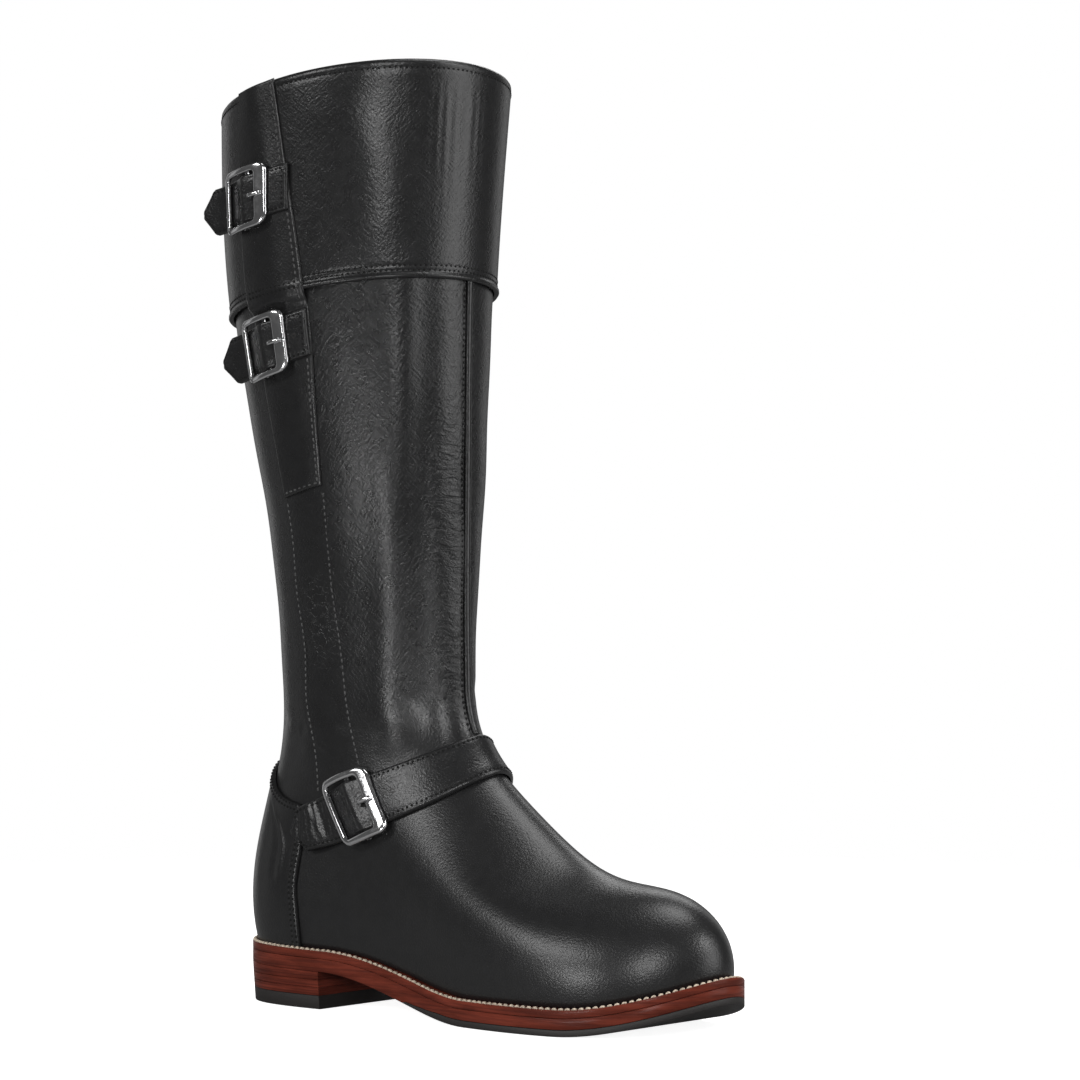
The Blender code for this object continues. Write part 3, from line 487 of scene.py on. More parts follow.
def feather_sides(per_span=40):
    """Outer and inner half of the feather line from toe to heel, with the share of each length."""
    lateral = [(-row[1], row[0]) for row in FEATHER][::-1]
    medial = [(row[2], row[0]) for row in FEATHER]
    points = [(TOE_SWING, TOE_TIP_Y)] + lateral + [(0.0, HEEL_BACK_Y)] + medial
    dense = closed_spline(points, per_span)
    heel = (1 + len(lateral)) * per_span
    halves = (dense[: heel + 1], np.concatenate([dense[heel:], dense[:1]])[::-1])
    return [(run_length(line) / run_length(line)[-1], line) for line in halves]


FEATHER_SIDES = feather_sides()
LEG_COLUMNS = [natural_spline(column(LEG, 0), column(LEG, i)) for i in range(1, 6)]
WALL_COLUMNS = [even_spline(column(FOOT_WALL, 0), column(FOOT_WALL, i)) for i in range(1, 4)]
EDGE_SPLINE = even_spline(column(SOLE_EDGE, 0), column(SOLE_EDGE, 1))
ZIP_SPLINE = natural_spline(column(ZIP_PATH, 0), column(ZIP_PATH, 1))
FLAP_SPLINE = natural_spline(column(FLAP_FRONT, 0), column(FLAP_FRONT, 1))
COUNTER_SPLINE = natural_spline(column(COUNTER_TOP, 0), column(COUNTER_TOP, 1))
STRAP_LOW = natural_spline(column(ANKLE_STRAP, 0), column(ANKLE_STRAP, 1))
STRAP_HIGH = natural_spline(column(ANKLE_STRAP, 0), column(ANKLE_STRAP, 2))
SEAM_REAR = natural_spline(column(LOWER_SEAMS, 0), column(LOWER_SEAMS, 1))
SEAM_FRONT = natural_spline(column(LOWER_SEAMS, 0), column(LOWER_SEAMS, 2))


def sole_bottom(y):
    """Underside of the sole: heel seat, arch, flat forefoot and toe spring."""
    y = np.asarray(y, float)
    arch = BREAST_RISE * ease((y - CONTACT_REAR_Y) / (BREAST_Y - CONTACT_REAR_Y))
    seat = SEAT_SLOPE * np.maximum(y - BREAST_Y, 0)
    spring = SPRING_BEND * np.maximum(SPRING_Y - y, 0) ** 2
    return arch + seat + spring


def sole_top(y):
    """Upper side of the welt."""
    share = ease((np.asarray(y, float) - SEAT_FROM_Y) / (SEAT_TO_Y - SEAT_FROM_Y))
    return sole_bottom(y) + SOLE_FORE + (SOLE_SEAT - SOLE_FORE) * share


def round_once(u):
    return (np.asarray(u, float) + 1) % 2 - 1


def feather(u):
    u = round_once(u)
    place = np.zeros(u.shape + (2,))
    for (share, line), mask in zip(FEATHER_SIDES, (u >= 0, u < 0)):
        for axis in range(2):
            here = np.interp(np.abs(u), share, line[:, axis])
            place[..., axis] = np.where(mask, here, place[..., axis])
    return place


def outward(u, step=0.006):
    """Level direction that points out of the feather line."""
    along = feather(np.asarray(u, float) + step) - feather(np.asarray(u, float) - step)
    return unit(np.stack([-along[..., 1], along[..., 0]], -1))


def leg(u, z):
    """Point of the leg's level section at height z."""
    front, back, lateral, medial, egg = [spline(z) for spline in LEG_COLUMNS]
    angle = np.pi * u
    half = np.where(u >= 0, lateral, medial)
    x = -half * np.sin(angle) * (1 - egg * np.cos(angle))
    y = (front + back) / 2 - (back - front) / 2 * np.cos(angle)
    return np.stack([x, y, np.broadcast_to(z, x.shape)], -1)


def edge_height(u, edge):
    angle = np.pi * np.asarray(u, float)
    return edge[0] + edge[1] * np.cos(angle) + edge[2] * np.sin(angle)


def surface(u, v):
    """Outer face of the upper."""
    u, v = np.broadcast_arrays(np.asarray(u, float), np.asarray(v, float))
    u = round_once(u)
    base = feather(u)
    low = np.concatenate([base, (sole_top(base[..., 1]) + GAP)[..., None]], -1)
    bulge, rise, drop = [spline(np.abs(u))[..., None] for spline in WALL_COLUMNS]
    side = low + np.concatenate([outward(u) * bulge, rise], -1)
    ankle = leg(u, np.full(u.shape, ANKLE_Z))
    up = leg(u, np.full(u.shape, ANKLE_Z + 1)) - ankle
    instep = ankle - unit(up) * drop
    s = np.clip(v, 0, 1)[..., None]
    foot = (1 - s) ** 3 * low + 3 * (1 - s) ** 2 * s * side
    foot = foot + 3 * (1 - s) * s**2 * instep + s**3 * ankle
    along = ((s[..., 0] - VAMP_DIP_V) / VAMP_DIP_RUN) ** 2
    foot[..., 2] -= VAMP_DIP * np.exp(-along - (u / VAMP_DIP_SHARE) ** 2)
    z = ANKLE_Z + np.clip(v - 1, 0, 1) * (edge_height(u, COLLAR_EDGE) - ANKLE_Z)
    return np.where((v <= 1)[..., None], foot, leg(u, z))


def slopes(u, v, step=0.004):
    """How the surface runs along u and along v."""
    u, v = np.broadcast_arrays(np.asarray(u, float), np.asarray(v, float))
    along_u = (surface(u + step, v) - surface(u - step, v)) / (2 * step)
    high = np.minimum(v + step, 2)
    low = np.maximum(v - step, 0)
    along_v = (surface(u, high) - surface(u, low)) / (high - low)[..., None]
    return along_u, along_v


def normals(u, v):
    """Directions out of the outer face."""
    along_u, along_v = slopes(u, v)
    return unit(np.cross(along_v, along_u))


def girth(u, v):
    """Millimetres round the boot for a step of 1 in u."""
    return np.linalg.norm(slopes(u, v)[0], axis=-1)


def skin(u, v, lift):
    """Point at a height over the outer face, along its normal."""
    return surface(u, v) + normals(u, v) * np.asarray(lift, float)[..., None]


def v_at_height(u, z):
    """The v where the outer face reaches height z."""
    u, z = np.broadcast_arrays(np.asarray(u, float), np.asarray(z, float))
    low = np.zeros(u.shape)
    high = np.full(u.shape, 2.0)
    for _ in range(26):
        middle = (low + high) / 2
        under = surface(u, middle)[..., 2] < z
        low = np.where(under, middle, low)
        high = np.where(under, high, middle)
    return (low + high) / 2


def leg_v(u, z):
    """The v of a place on the leg at height z."""
    return 1 + (z - ANKLE_Z) / (edge_height(u, COLLAR_EDGE) - ANKLE_Z)


def skin_at_height(u, z, lift):
    return skin(u, v_at_height(u, z), lift)


def zip_sides(v, side):
    """The u of the line that lies a given distance from the middle of the zip, + toward the toe."""
    middle = ZIP_SPLINE(np.maximum(v, ZIP_LOW_V))
    return middle + side / girth(middle, v)


def frame_origin():
    """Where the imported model's origin lies in the sizes used here."""
    side = float(LEG_COLUMNS[2](edge_height(0.5, COLLAR_EDGE)))
    across = -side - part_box("upper")[0].x / MM
    along = BREAST_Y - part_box("heel_top_piece")[0].y / MM
    return np.array([across, along, 0.0])


ORIGIN = frame_origin()


def grid_faces(rows, columns, wrap=False, start=0):
    """Quads of a grid of points."""
    index = start + np.arange(rows * columns).reshape(rows, columns)
    if wrap:
        index = np.concatenate([index, index[:, :1]], axis=1)
    quads = np.stack([index[:-1, :-1], index[:-1, 1:], index[1:, 1:], index[1:, :-1]], -1)
    return quads.reshape(-1, 4)


def panel(under, over):
    """Closed body between two grids of points that meet along their four edges."""
    rows, columns = under.shape[:2]
    size = rows * columns
    index = np.arange(size).reshape(rows, columns)
    rim = np.concatenate([index[0], index[1:, -1], index[-1, -2::-1], index[-2:0:-1, 0]])
    after = np.roll(rim, -1)
    walls = np.stack([rim, after, size + after, size + rim], -1)
    low = grid_faces(rows, columns)[:, ::-1]
    high = grid_faces(rows, columns, start=size)
    faces = np.concatenate([low, high, walls])
    return np.concatenate([under.reshape(-1, 3), over.reshape(-1, 3)]), faces.tolist()


def tube(sections):
    """Closed body through rings of points, capped at both ends."""
    count, around = sections.shape[:2]
    faces = grid_faces(count, around, wrap=True).tolist()
    faces.append(list(range(around))[::-1])
    faces.append(list(range((count - 1) * around, count * around)))
    return sections.reshape(-1, 3), faces


def tubes(sections):
    """Closed bodies through rings of points, one for each set of rings."""
    many, count, around = sections.shape[:3]
    faces = tube(sections[0])[1]
    start = (np.arange(many) * count * around)[:, None, None]
    walls = (np.array(faces[:-2]) + start).reshape(-1, 4)
    caps = (np.array(faces[-2:]) + start).reshape(-1, around)
    return sections.reshape(-1, 3), walls.tolist() + caps.tolist()


def ring_tube(sections):
    """Closed body through rings of points, with the last ring joined to the first."""
    closed = np.concatenate([sections, sections[:1]])
    count, around = closed.shape[:2]
    faces = grid_faces(count, around, wrap=True) % (sections.shape[0] * around)
    return sections.reshape(-1, 3), faces.tolist()


def stack(loops):
    """Closed body through loops of left and right points, capped across at both ends."""
    points = []
    faces = []
    rings = []
    rungs_of = []
    for left, right in loops:
        count = len(left)
        start = len(points)
        points.extend(left)
        right_index = []
        for i in range(count):
            if i in (0, count - 1) and np.allclose(left[i], right[i], atol=1e-6):
                right_index.append(start + i)
            else:
                right_index.append(len(points))
                points.append(right[i])
        left_index = list(range(start, start + count))
        ends = (left_index[0], left_index[-1])
        rings.append(left_index + [i for i in right_index[::-1] if i not in ends])
        rungs_of.append((left_index, right_index))
    for low, high in zip(rings, rings[1:]):
        for i in range(len(low)):
            j = (i + 1) % len(low)
            faces.append([low[i], low[j], high[j], high[i]])
    for left_index, right_index in (rungs_of[0], rungs_of[-1]):
        for i in range(len(left_index) - 1):
            quad = [left_index[i], left_index[i + 1], right_index[i + 1], right_index[i]]
            faces.append(list(dict.fromkeys(quad)))
    return np.array(points), faces


class Piece:
    """Bodies of one piece of the boot, gathered until its mesh is written."""

    def __init__(self, name):
        self.name = name
        self.points = []
        self.faces = []
        self.fields = {}
        self.count = 0

    def add(self, body, **fields):
        """Adds a body. A field has one value for all its points, or values for the first ones."""
        points, faces = body
        points = np.asarray(points, float).reshape(-1, 3)
        self.points.append(points)
        self.faces.extend([[self.count + i for i in face] for face in faces])
        for name, values in fields.items():
            field = np.zeros((len(points), 3) if name == "lay" else len(points))
            if np.ndim(values):
                values = np.reshape(values, (-1, *field.shape[1:]))
                field[: len(values)] = values
            else:
                field[:] = values
            self.fields.setdefault(name, []).append(field)
        self.count += len(points)

    def write(self, material, slot=None, body="boot", stands_for=(), crisp=50.0):
        """Writes the mesh in the frame's metres and ties it to its CAD body."""
        mesh = bpy.data.meshes.new(self.name)
        points = (np.concatenate(self.points) - ORIGIN) * MM
        mesh.from_pydata(points.tolist(), [], self.faces)
        work = bmesh.new()
        work.from_mesh(mesh)
        bmesh.ops.recalc_face_normals(work, faces=work.faces)
        work.to_mesh(mesh)
        work.free()
        mesh.shade_smooth()
        mesh.set_sharp_from_angle(angle=math.radians(crisp))
        for name, values in self.fields.items():
            values = np.concatenate(values)
            kind, key = ("FLOAT_VECTOR", "vector") if values.ndim == 2 else ("FLOAT", "value")
            layer = mesh.attributes.new(name, kind, "POINT")
            layer.data.foreach_set(key, values.astype(np.float32).ravel())
        mesh.materials.append(material)
        made = bpy.data.objects.new(self.name, mesh)
        bpy.context.scene.collection.objects.link(made)
        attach(made, body)
        if stands_for:
            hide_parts(*stands_for)
        return made


def flat(first, second):
    """Lay of the leather on a piece: two lengths in its plane."""
    return np.stack([first, second, np.zeros(np.shape(first))], -1).reshape(-1, 3)


def both_sides(values):
    """Values of a panel's upper side, used for its under side too."""
    return np.concatenate([values, values])


class Wiring:
    """Short way to place and link the nodes of a material or node group."""

    def __init__(self, tree):
        self.tree = tree

    def add(self, kind, inputs=None, **settings):
        made = self.tree.nodes.new(kind)
        for name, value in settings.items():
            setattr(made, name, value)
        for name, value in (inputs or {}).items():
            self.set(made.inputs[name], value)
        return made

    def set(self, socket, value):
        if isinstance(value, bpy.types.NodeSocket):
            self.tree.links.new(value, socket)
        else:
            socket.default_value = value

    def math(self, operation, first, second):
        return self.add("ShaderNodeMath", {0: first, 1: second}, operation=operation).outputs[0]

    def times(self, first, second):
        return self.math("MULTIPLY", first, second)

    def plus(self, first, second):
        return self.math("ADD", first, second)

    def attribute(self, name, output="Fac"):
        return self.add("ShaderNodeAttribute", attribute_name=name).outputs[output]

    def scaled(self, vector, factors, turn=0.0):
        """The vector turned in its plane, then scaled."""
        inputs = {"Vector": vector, "Rotation": (0, 0, turn)}
        turned = self.add("ShaderNodeMapping", inputs).outputs[0]
        return self.add("ShaderNodeMapping", {"Vector": turned, "Scale": factors}).outputs[0]

    def noise(self, vector, scale, detail=3.0, rough=0.5, distortion=0.0):
        inputs = {"Vector": vector, "Scale": scale, "Detail": detail}
        inputs.update({"Roughness": rough, "Distortion": distortion})
        return self.add("ShaderNodeTexNoise", inputs).outputs[0]

    def ramp(self, value, low, high, to_low=0.0, to_high=1.0):
        inputs = {"Value": value, "From Min": low, "From Max": high}
        inputs.update({"To Min": to_low, "To Max": to_high})
        return self.add("ShaderNodeMapRange", inputs, interpolation_type="SMOOTHSTEP").outputs[0]

    def mix(self, share, first, second):
        made = self.add("ShaderNodeMix", data_type="RGBA")
        self.set(made.inputs["Factor"], share)
        self.set(made.inputs[6], first)
        self.set(made.inputs[7], second)
        return made.outputs[2]


def group_of(name, inputs, outputs):
    """A new shader node group with its named sockets, its wiring and its two end nodes."""
    tree = bpy.data.node_groups.new(name, "ShaderNodeTree")
    for label, kind in inputs:
        tree.interface.new_socket(label, in_out="INPUT", socket_type=kind)
    for label, kind in outputs:
        tree.interface.new_socket(label, in_out="OUTPUT", socket_type=kind)
    wires = Wiring(tree)
    return wires, wires.add("NodeGroupInput").outputs, wires.add("NodeGroupOutput").inputs


VECTOR = "NodeSocketVector"
FLOAT = "NodeSocketFloat"


def leather_grain(name):
    """Height of leather in millimetres: pores, soft grain and fine creases along the hide."""
    inputs = [("Place", VECTOR), ("Lay", VECTOR)]
    inputs += [(label, FLOAT) for label in ("Grain", "Hatch", "Crackle", "Crumple")]
    wires, given, out = group_of(name, inputs, [("Height", FLOAT), ("Tone", FLOAT)])
    place = given["Place"]
    lay = given["Lay"]

    def streaks(factors, turn, detail, distortion):
        stretched = wires.scaled(lay, factors, math.radians(turn))
        return wires.noise(stretched, 1.0, detail, 0.55, distortion)

    warp = wires.add("ShaderNodeTexNoise", {"Vector": place, "Scale": 0.35, "Detail": 2.0})
    warp = warp.outputs["Color"]
    bent = wires.add("ShaderNodeVectorMath", {0: place, 1: warp}, operation="ADD").outputs[0]
    cells = wires.add("ShaderNodeTexVoronoi", {"Vector": bent, "Scale": 1.10}, feature="SMOOTH_F1")
    pebble = wires.math("SUBTRACT", 0.6, cells.outputs["Distance"])
    fine = wires.noise(place, 2.2, 2.0)
    soft = wires.noise(place, 0.16, 2.0)
    grain = wires.plus(pebble, wires.times(fine, 0.6))
    grain = wires.times(wires.plus(grain, wires.times(soft, 0.8)), given["Grain"])
    one = streaks((0.95, 0.20, 1.0), -38, 3.0, 0.5)
    two = streaks((0.85, 0.17, 1.0), 44, 3.0, 0.5)
    lines = wires.times(wires.ramp(one, 0.30, 0.72), 0.6)
    lines = wires.plus(lines, wires.times(wires.ramp(two, 0.30, 0.72), 0.5))
    hatch = wires.times(lines, given["Hatch"])
    stretched = wires.scaled(lay, (0.11, 0.24, 1.0), math.radians(14))
    net = wires.add("ShaderNodeVectorMath", {0: stretched, 1: warp}, operation="ADD").outputs[0]
    web = wires.add("ShaderNodeTexVoronoi", {"Vector": net, "Scale": 1.0})
    web.feature = "DISTANCE_TO_EDGE"
    crack = wires.times(wires.ramp(web.outputs["Distance"], 0.0, 0.10), given["Crackle"])
    folds = streaks((0.085, 0.34, 1.0), -7, 4.0, 0.9)
    crumple = wires.times(wires.ramp(folds, 0.36, 0.66), given["Crumple"])
    wires.set(out["Height"], wires.plus(wires.plus(grain, hatch), wires.plus(crack, crumple)))
    wires.set(out["Tone"], wires.ramp(soft, 0.3, 0.7))
    return wires.tree


def layer_lines(name):
    """Dark streaks of a stacked leather edge, long in the level and thin in height."""
    inputs = [("Place", VECTOR), ("Spacing", FLOAT)]
    wires, given, out = group_of(name, inputs, [("Lines", FLOAT), ("Cloud", FLOAT)])
    level = wires.scaled(given["Place"], (0.020, 0.020, 0.95))
    thin = wires.noise(level, given["Spacing"], 4.0, 0.6, 0.25)
    broad = wires.noise(wires.scaled(given["Place"], (0.035, 0.035, 0.22)), 1.0, 3.0, 0.55)
    wires.set(out["Lines"], wires.ramp(thin, 0.42, 0.66))
    wires.set(out["Cloud"], wires.ramp(broad, 0.32, 0.68))
    return wires.tree


def shade(colour, share=1.0):
    """The colour made darker or lighter, with its alpha."""
    return (*[share * part for part in colour], 1.0)


def finish(name, paint, *given):
    """The material of that name, painted when it is first asked for."""
    return bpy.data.materials.get(name) or paint(name, *given)


def new_material(name, colour, roughness, metallic=0.0):
    """A material with its wiring, its shader and the surface place in millimetres."""
    made = bpy.data.materials.new(name)
    made.use_nodes = True
    wires = Wiring(made.node_tree)
    shader = made.node_tree.nodes["Principled BSDF"]
    shader.inputs["Base Color"].default_value = shade(colour)
    shader.inputs["Roughness"].default_value = roughness
    shader.inputs["Metallic"].default_value = metallic
    place = wires.add("ShaderNodeTexCoord").outputs["Object"]
    return made, wires, shader, wires.scaled(place, (1 / MM, 1 / MM, 1 / MM))


def shared_group(wires, build, inputs):
    """Outputs of a group that carries its builder's name, built when it is first asked for."""
    name = build.__name__
    tree = bpy.data.node_groups.get(name) or build(name)
    return wires.add("ShaderNodeGroup", inputs, node_tree=tree).outputs


def bump(wires, shader, height):
    """Bends the shading by a height in millimetres."""
    made = wires.add("ShaderNodeBump", {"Height": height, "Strength": 1.0, "Distance": MM})
    wires.set(shader.inputs["Normal"], made.outputs[0])


def black_leather(name, grain=1.0):
    """Black leather. Its creases follow the lay and the marks of the piece where it has them."""
    colour = bpy.context.scene.boot_colours.leather
    made, wires, shader, place = new_material(name, colour, LEATHER_ROUGH[1])
    inputs = {
        "Place": place,
        "Lay": wires.attribute("lay", "Vector"),
        "Grain": bpy.context.scene.boot_sizes.grain / MM * grain,
        "Hatch": wires.times(wires.attribute("hatch"), HATCH_HIGH),
        "Crackle": wires.times(wires.attribute("crackle"), CRACKLE_HIGH),
        "Crumple": wires.times(wires.attribute("crumple"), CRUMPLE_HIGH),
    }
    hide = shared_group(wires, leather_grain, inputs)
    bump(wires, shader, hide["Height"])
    rough = wires.ramp(wires.attribute("polish"), 0.0, 1.0, *LEATHER_ROUGH[::-1])
    rough = wires.plus(rough, wires.times(hide["Tone"], TONE_ROUGH))
    wires.set(shader.inputs["Roughness"], rough)
    dark, light = [shade(colour, share) for share in LEATHER_TONES]
    wires.set(shader.inputs["Base Color"], wires.mix(hide["Tone"], dark, light))
    return made


def brown_edge(name, spacing, lines, rough):
    """Burnished leather edge with the lines of its layers."""
    colours = bpy.context.scene.boot_colours
    made, wires, shader, place = new_material(name, colours.edge_red, rough)
    layers = shared_group(wires, layer_lines, {"Place": place, "Spacing": spacing})
    tone = wires.mix(layers["Cloud"], shade(colours.edge_red, 0.55), shade(colours.edge_red))
    share = wires.times(layers["Lines"], lines)
    wires.set(shader.inputs["Base Color"], wires.mix(share, tone, shade(colours.edge_dark)))
    shader.inputs["Specular IOR Level"].default_value = 0.06
    shader.inputs["Coat Weight"].default_value = 0.06
    shader.inputs["Coat Roughness"].default_value = 0.15
    rough_lines = wires.ramp(layers["Lines"], 0.0, 1.0, rough, rough + 0.15)
    wires.set(shader.inputs["Roughness"], rough_lines)
    bump(wires, shader, wires.times(layers["Lines"], -0.06))
    return made


def thread_look(name, colour, rough):
    """Twisted thread."""
    made, wires, shader, place = new_material(name, colour, rough)
    tone = wires.ramp(wires.noise(place, 1.1, 2.0), 0.35, 0.6)
    wires.set(shader.inputs["Base Color"], wires.mix(tone, shade(colour, 0.62), shade(colour)))
    bump(wires, shader, wires.times(wires.noise(place, 4.0, 2.0), 0.10))
    return made


def steel_look(name):
    """Polished steel with a faint haze."""
    colour = bpy.context.scene.boot_colours.steel
    made, wires, shader, place = new_material(name, colour, 0.14, 1.0)
    haze = wires.noise(place, 0.30, 3.0)
    wires.set(shader.inputs["Roughness"], wires.ramp(haze, 0.3, 0.7, 0.09, 0.20))
    bump(wires, shader, wires.times(wires.noise(place, 0.9, 2.0), 0.012))
    return made


def rubber_look(name):
    """Dull black rubber."""
    made, wires, shader, place = new_material(name, (0.014, 0.0125, 0.012), 0.6)
    speck = wires.noise(place, 1.6, 3.0)
    tone = wires.mix(speck, shade((0.010, 0.009, 0.009)), shade((0.026, 0.022, 0.020)))
    wires.set(shader.inputs["Base Color"], tone)
    bump(wires, shader, wires.times(speck, 0.10))
    return made


def lining_look(name):
    """Soft leather with a nap."""
    colour = bpy.context.scene.boot_colours.lining
    made, wires, shader, place = new_material(name, colour, 0.7)
    nap = wires.noise(place, 1.3, 4.0)
    wires.set(shader.inputs["Base Color"], wires.mix(nap, shade(colour, 0.75), shade(colour)))
    bump(wires, shader, wires.times(nap, 0.10))
    return made


def tape_look(name):
    """Woven tape of the zip."""
    made, wires, shader, place = new_material(name, (0.013, 0.013, 0.014), 0.8)
    inputs = {"Vector": wires.attribute("lay", "Vector"), "Scale": 0.55, "Distortion": 0.6}
    weft = wires.add("ShaderNodeTexWave", inputs, bands_direction="DIAGONAL").outputs["Fac"]
    tone = wires.mix(weft, shade((0.008, 0.008, 0.008)), shade((0.022, 0.022, 0.023)))
    wires.set(shader.inputs["Base Color"], tone)
    bump(wires, shader, wires.times(weft, 0.12))
    return made


def metal_look(name):
    """Satin black metal of the slider."""
    made, wires, shader, place = new_material(name, (0.030, 0.030, 0.032), 0.32, 1.0)
    haze = wires.noise(place, 0.8, 3.0)
    wires.set(shader.inputs["Roughness"], wires.ramp(haze, 0.3, 0.7, 0.26, 0.42))
    return made


def crease_paths(creases):
    """Lines of points on the upper for a table of creases."""
    table = np.array([row[:4] for row in creases], float)
    share = np.linspace(0, 1, 9)
    u = table[:, :1] + (table[:, 2:3] - table[:, :1]) * share
    z = table[:, 1:2] + (table[:, 3:4] - table[:, 1:2]) * share
    return surface(u, v_at_height(u, z))


def crease_relief(points, creases):
    """Height of soft troughs and ridges at points of the upper."""
    total = np.zeros(len(points))
    for path, row in zip(crease_paths(creases), creases):
        width, depth = row[4], row[5]
        reach = 3 * width
        near = np.all((points > path.min(0) - reach) & (points < path.max(0) + reach), axis=1)
        here = points[near]
        if not len(here):
            continue
        best = np.full(len(here), 1e9)
        along = np.zeros(len(here))
        for i in range(len(path) - 1):
            step = path[i + 1] - path[i]
            share = np.clip((here - path[i]) @ step / (step @ step), 0, 1)
            apart = np.linalg.norm(here - path[i] - share[:, None] * step, axis=1)
            closer = apart < best
            best = np.where(closer, apart, best)
            along = np.where(closer, (i + share) / (len(path) - 1), along)
        spread = (best / width) ** 2
        fade = np.sin(np.pi * np.clip(along, 0.06, 0.94))
        total[near] += depth * fade * (1 - 0.7 * spread) * np.exp(-spread)
    return total


def seam_creases():
    """Short creases of worn leather beside the front seam."""
    random = np.random.default_rng(CREASE_SEED)
    rows = []
    for u_low, u_high, z_low, z_high, count in SEAM_CREASES:
        for _ in range(count):
            u = random.uniform(u_low, u_high)
            z = random.uniform(z_low, z_high)
            length = random.uniform(0.03, 0.075)
            tilt = random.uniform(-5, 5)
            width = random.uniform(1.5, 2.6)
            depth = random.uniform(0.10, 0.26) * random.choice([-1, 1])
            rows.append((u, z, u + length, z + tilt, width, depth))
    return tuple(rows)


def upper_columns(v, outer, inner, steps):
    """The u of each column in the rows v. Columns close up at both edges of the zip's slot."""
    rear = np.stack([zip_sides(v, -ZIP_HALF - step) for step in steps], -1)
    front = np.stack([zip_sides(v, ZIP_HALF + step) for step in steps[::-1]], -1)
    lateral = np.broadcast_to(np.linspace(0, 1, outer, endpoint=False), (len(v), outer))
    rear_run = np.linspace(-1, rear[:, 0], inner, axis=-1)[:, :-1]
    front_run = np.linspace(front[:, -1], 0, inner, axis=-1)[:, 1:-1]
    slot = outer + inner - 1 + len(steps) - 1
    return np.concatenate([lateral, rear_run, rear, front, front_run], axis=1), slot


def slotted_body(outside, inside, kept, slot, slot_row):
    """Closed wall from an outer grid and an inner grid of its kept rows, open at the zip's slot."""
    rows, columns = outside.shape[:2]
    size = rows * columns
    keep_outer = np.ones((rows - 1, columns), bool)
    keep_outer[slot_row:, slot] = False
    inner_slot = kept.index(slot_row)
    keep_inner = np.ones((len(kept) - 1, columns), bool)
    keep_inner[inner_slot:, slot] = False
    faces = grid_faces(rows, columns, True)[keep_outer.ravel()].tolist()
    faces += grid_faces(len(kept), columns, True, size)[keep_inner.ravel()][:, ::-1].tolist()
    last_outer = (rows - 1) * columns
    last_inner = size + (len(kept) - 1) * columns
    for col in range(columns):
        after = (col + 1) % columns
        faces.append([after, col, size + col, size + after])
        if col != slot:
            outer_edge = [last_outer + col, last_outer + after]
            faces.append(outer_edge + [last_inner + after, last_inner + col])
    for side, turn in ((slot, 1), (slot + 1, -1)):
        for j in range(inner_slot, len(kept) - 1):
            edge = [row * columns + side for row in range(kept[j], kept[j + 1] + 1)]
            face = edge + [size + (j + 1) * columns + side, size + j * columns + side]
            faces.append(face[::turn])
    low = [slot_row * columns + slot, slot_row * columns + slot + 1]
    low += [size + inner_slot * columns + slot + 1, size + inner_slot * columns + slot]
    faces.append(low)
    return np.concatenate([outside.reshape(-1, 3), inside.reshape(-1, 3)]), faces


# Upright folds that carry the shine down the boot: heights, then u of the crest and of the trough
CUFF_FOLD_Z = (335.0, 346.0, 368.0, 384.0, 408.0, 430.0)
CUFF_CREST = (0.270, 0.262, 0.238, 0.246, 0.325, 0.400)
CUFF_TROUGH = (0.195, 0.185, 0.158, 0.160, 0.185, 0.210)
SHAFT_FOLD_Z = (120.0, 153.0, 190.0, 236.0, 280.0, 314.0, 340.0)
SHAFT_CREST = (0.350, 0.330, 0.305, 0.270, 0.230, 0.208, 0.200)
SHAFT_TROUGH = (0.215, 0.205, 0.195, 0.175, 0.155, 0.142, 0.137)

# The two folds: height of the crest, depth of the trough, how far they spread
CUFF_FOLD = (0.7, 0.6, 1.7)
SHAFT_FOLD = (1.7, 0.8, 1.2)
CREST_WIDTH = 0.045
TROUGH_WIDTH = 0.036


def bell(place, middle, width):
    """Soft hill of height 1 over a place."""
    return np.exp(-(((place - middle) / width) ** 2))


def upright_fold(u, z, heights, crest, trough, high, deep, spread):
    """A soft crest and the trough beside it, both running up the shaft."""
    ridge = bell(u, natural_spline(heights, crest)(z), CREST_WIDTH * spread)
    hollow = bell(u, natural_spline(heights, trough)(z), TROUGH_WIDTH * spread)
    return high * ridge - deep * hollow


def shaft_wave(u, z):
    """Broad soft waves of the shaft's leather."""
    leg_share = ease((z - 120) / 60)
    long = np.sin(2 * np.pi * (z / 92 + 1.6 * u))
    short = np.sin(2 * np.pi * (z / 53 - 2.3 * u + 0.2))
    return 0.35 * leg_share * (0.5 * long + 0.35 * short)


def seam_groove(u, z, speed):
    """Groove beside the cord of the front seam."""
    beside = u * speed
    groove = -0.15 * bell(beside, 2.6, 0.9) - 0.10 * bell(beside, -2.6, 0.9)
    return groove * ease((z - 118) / 12)


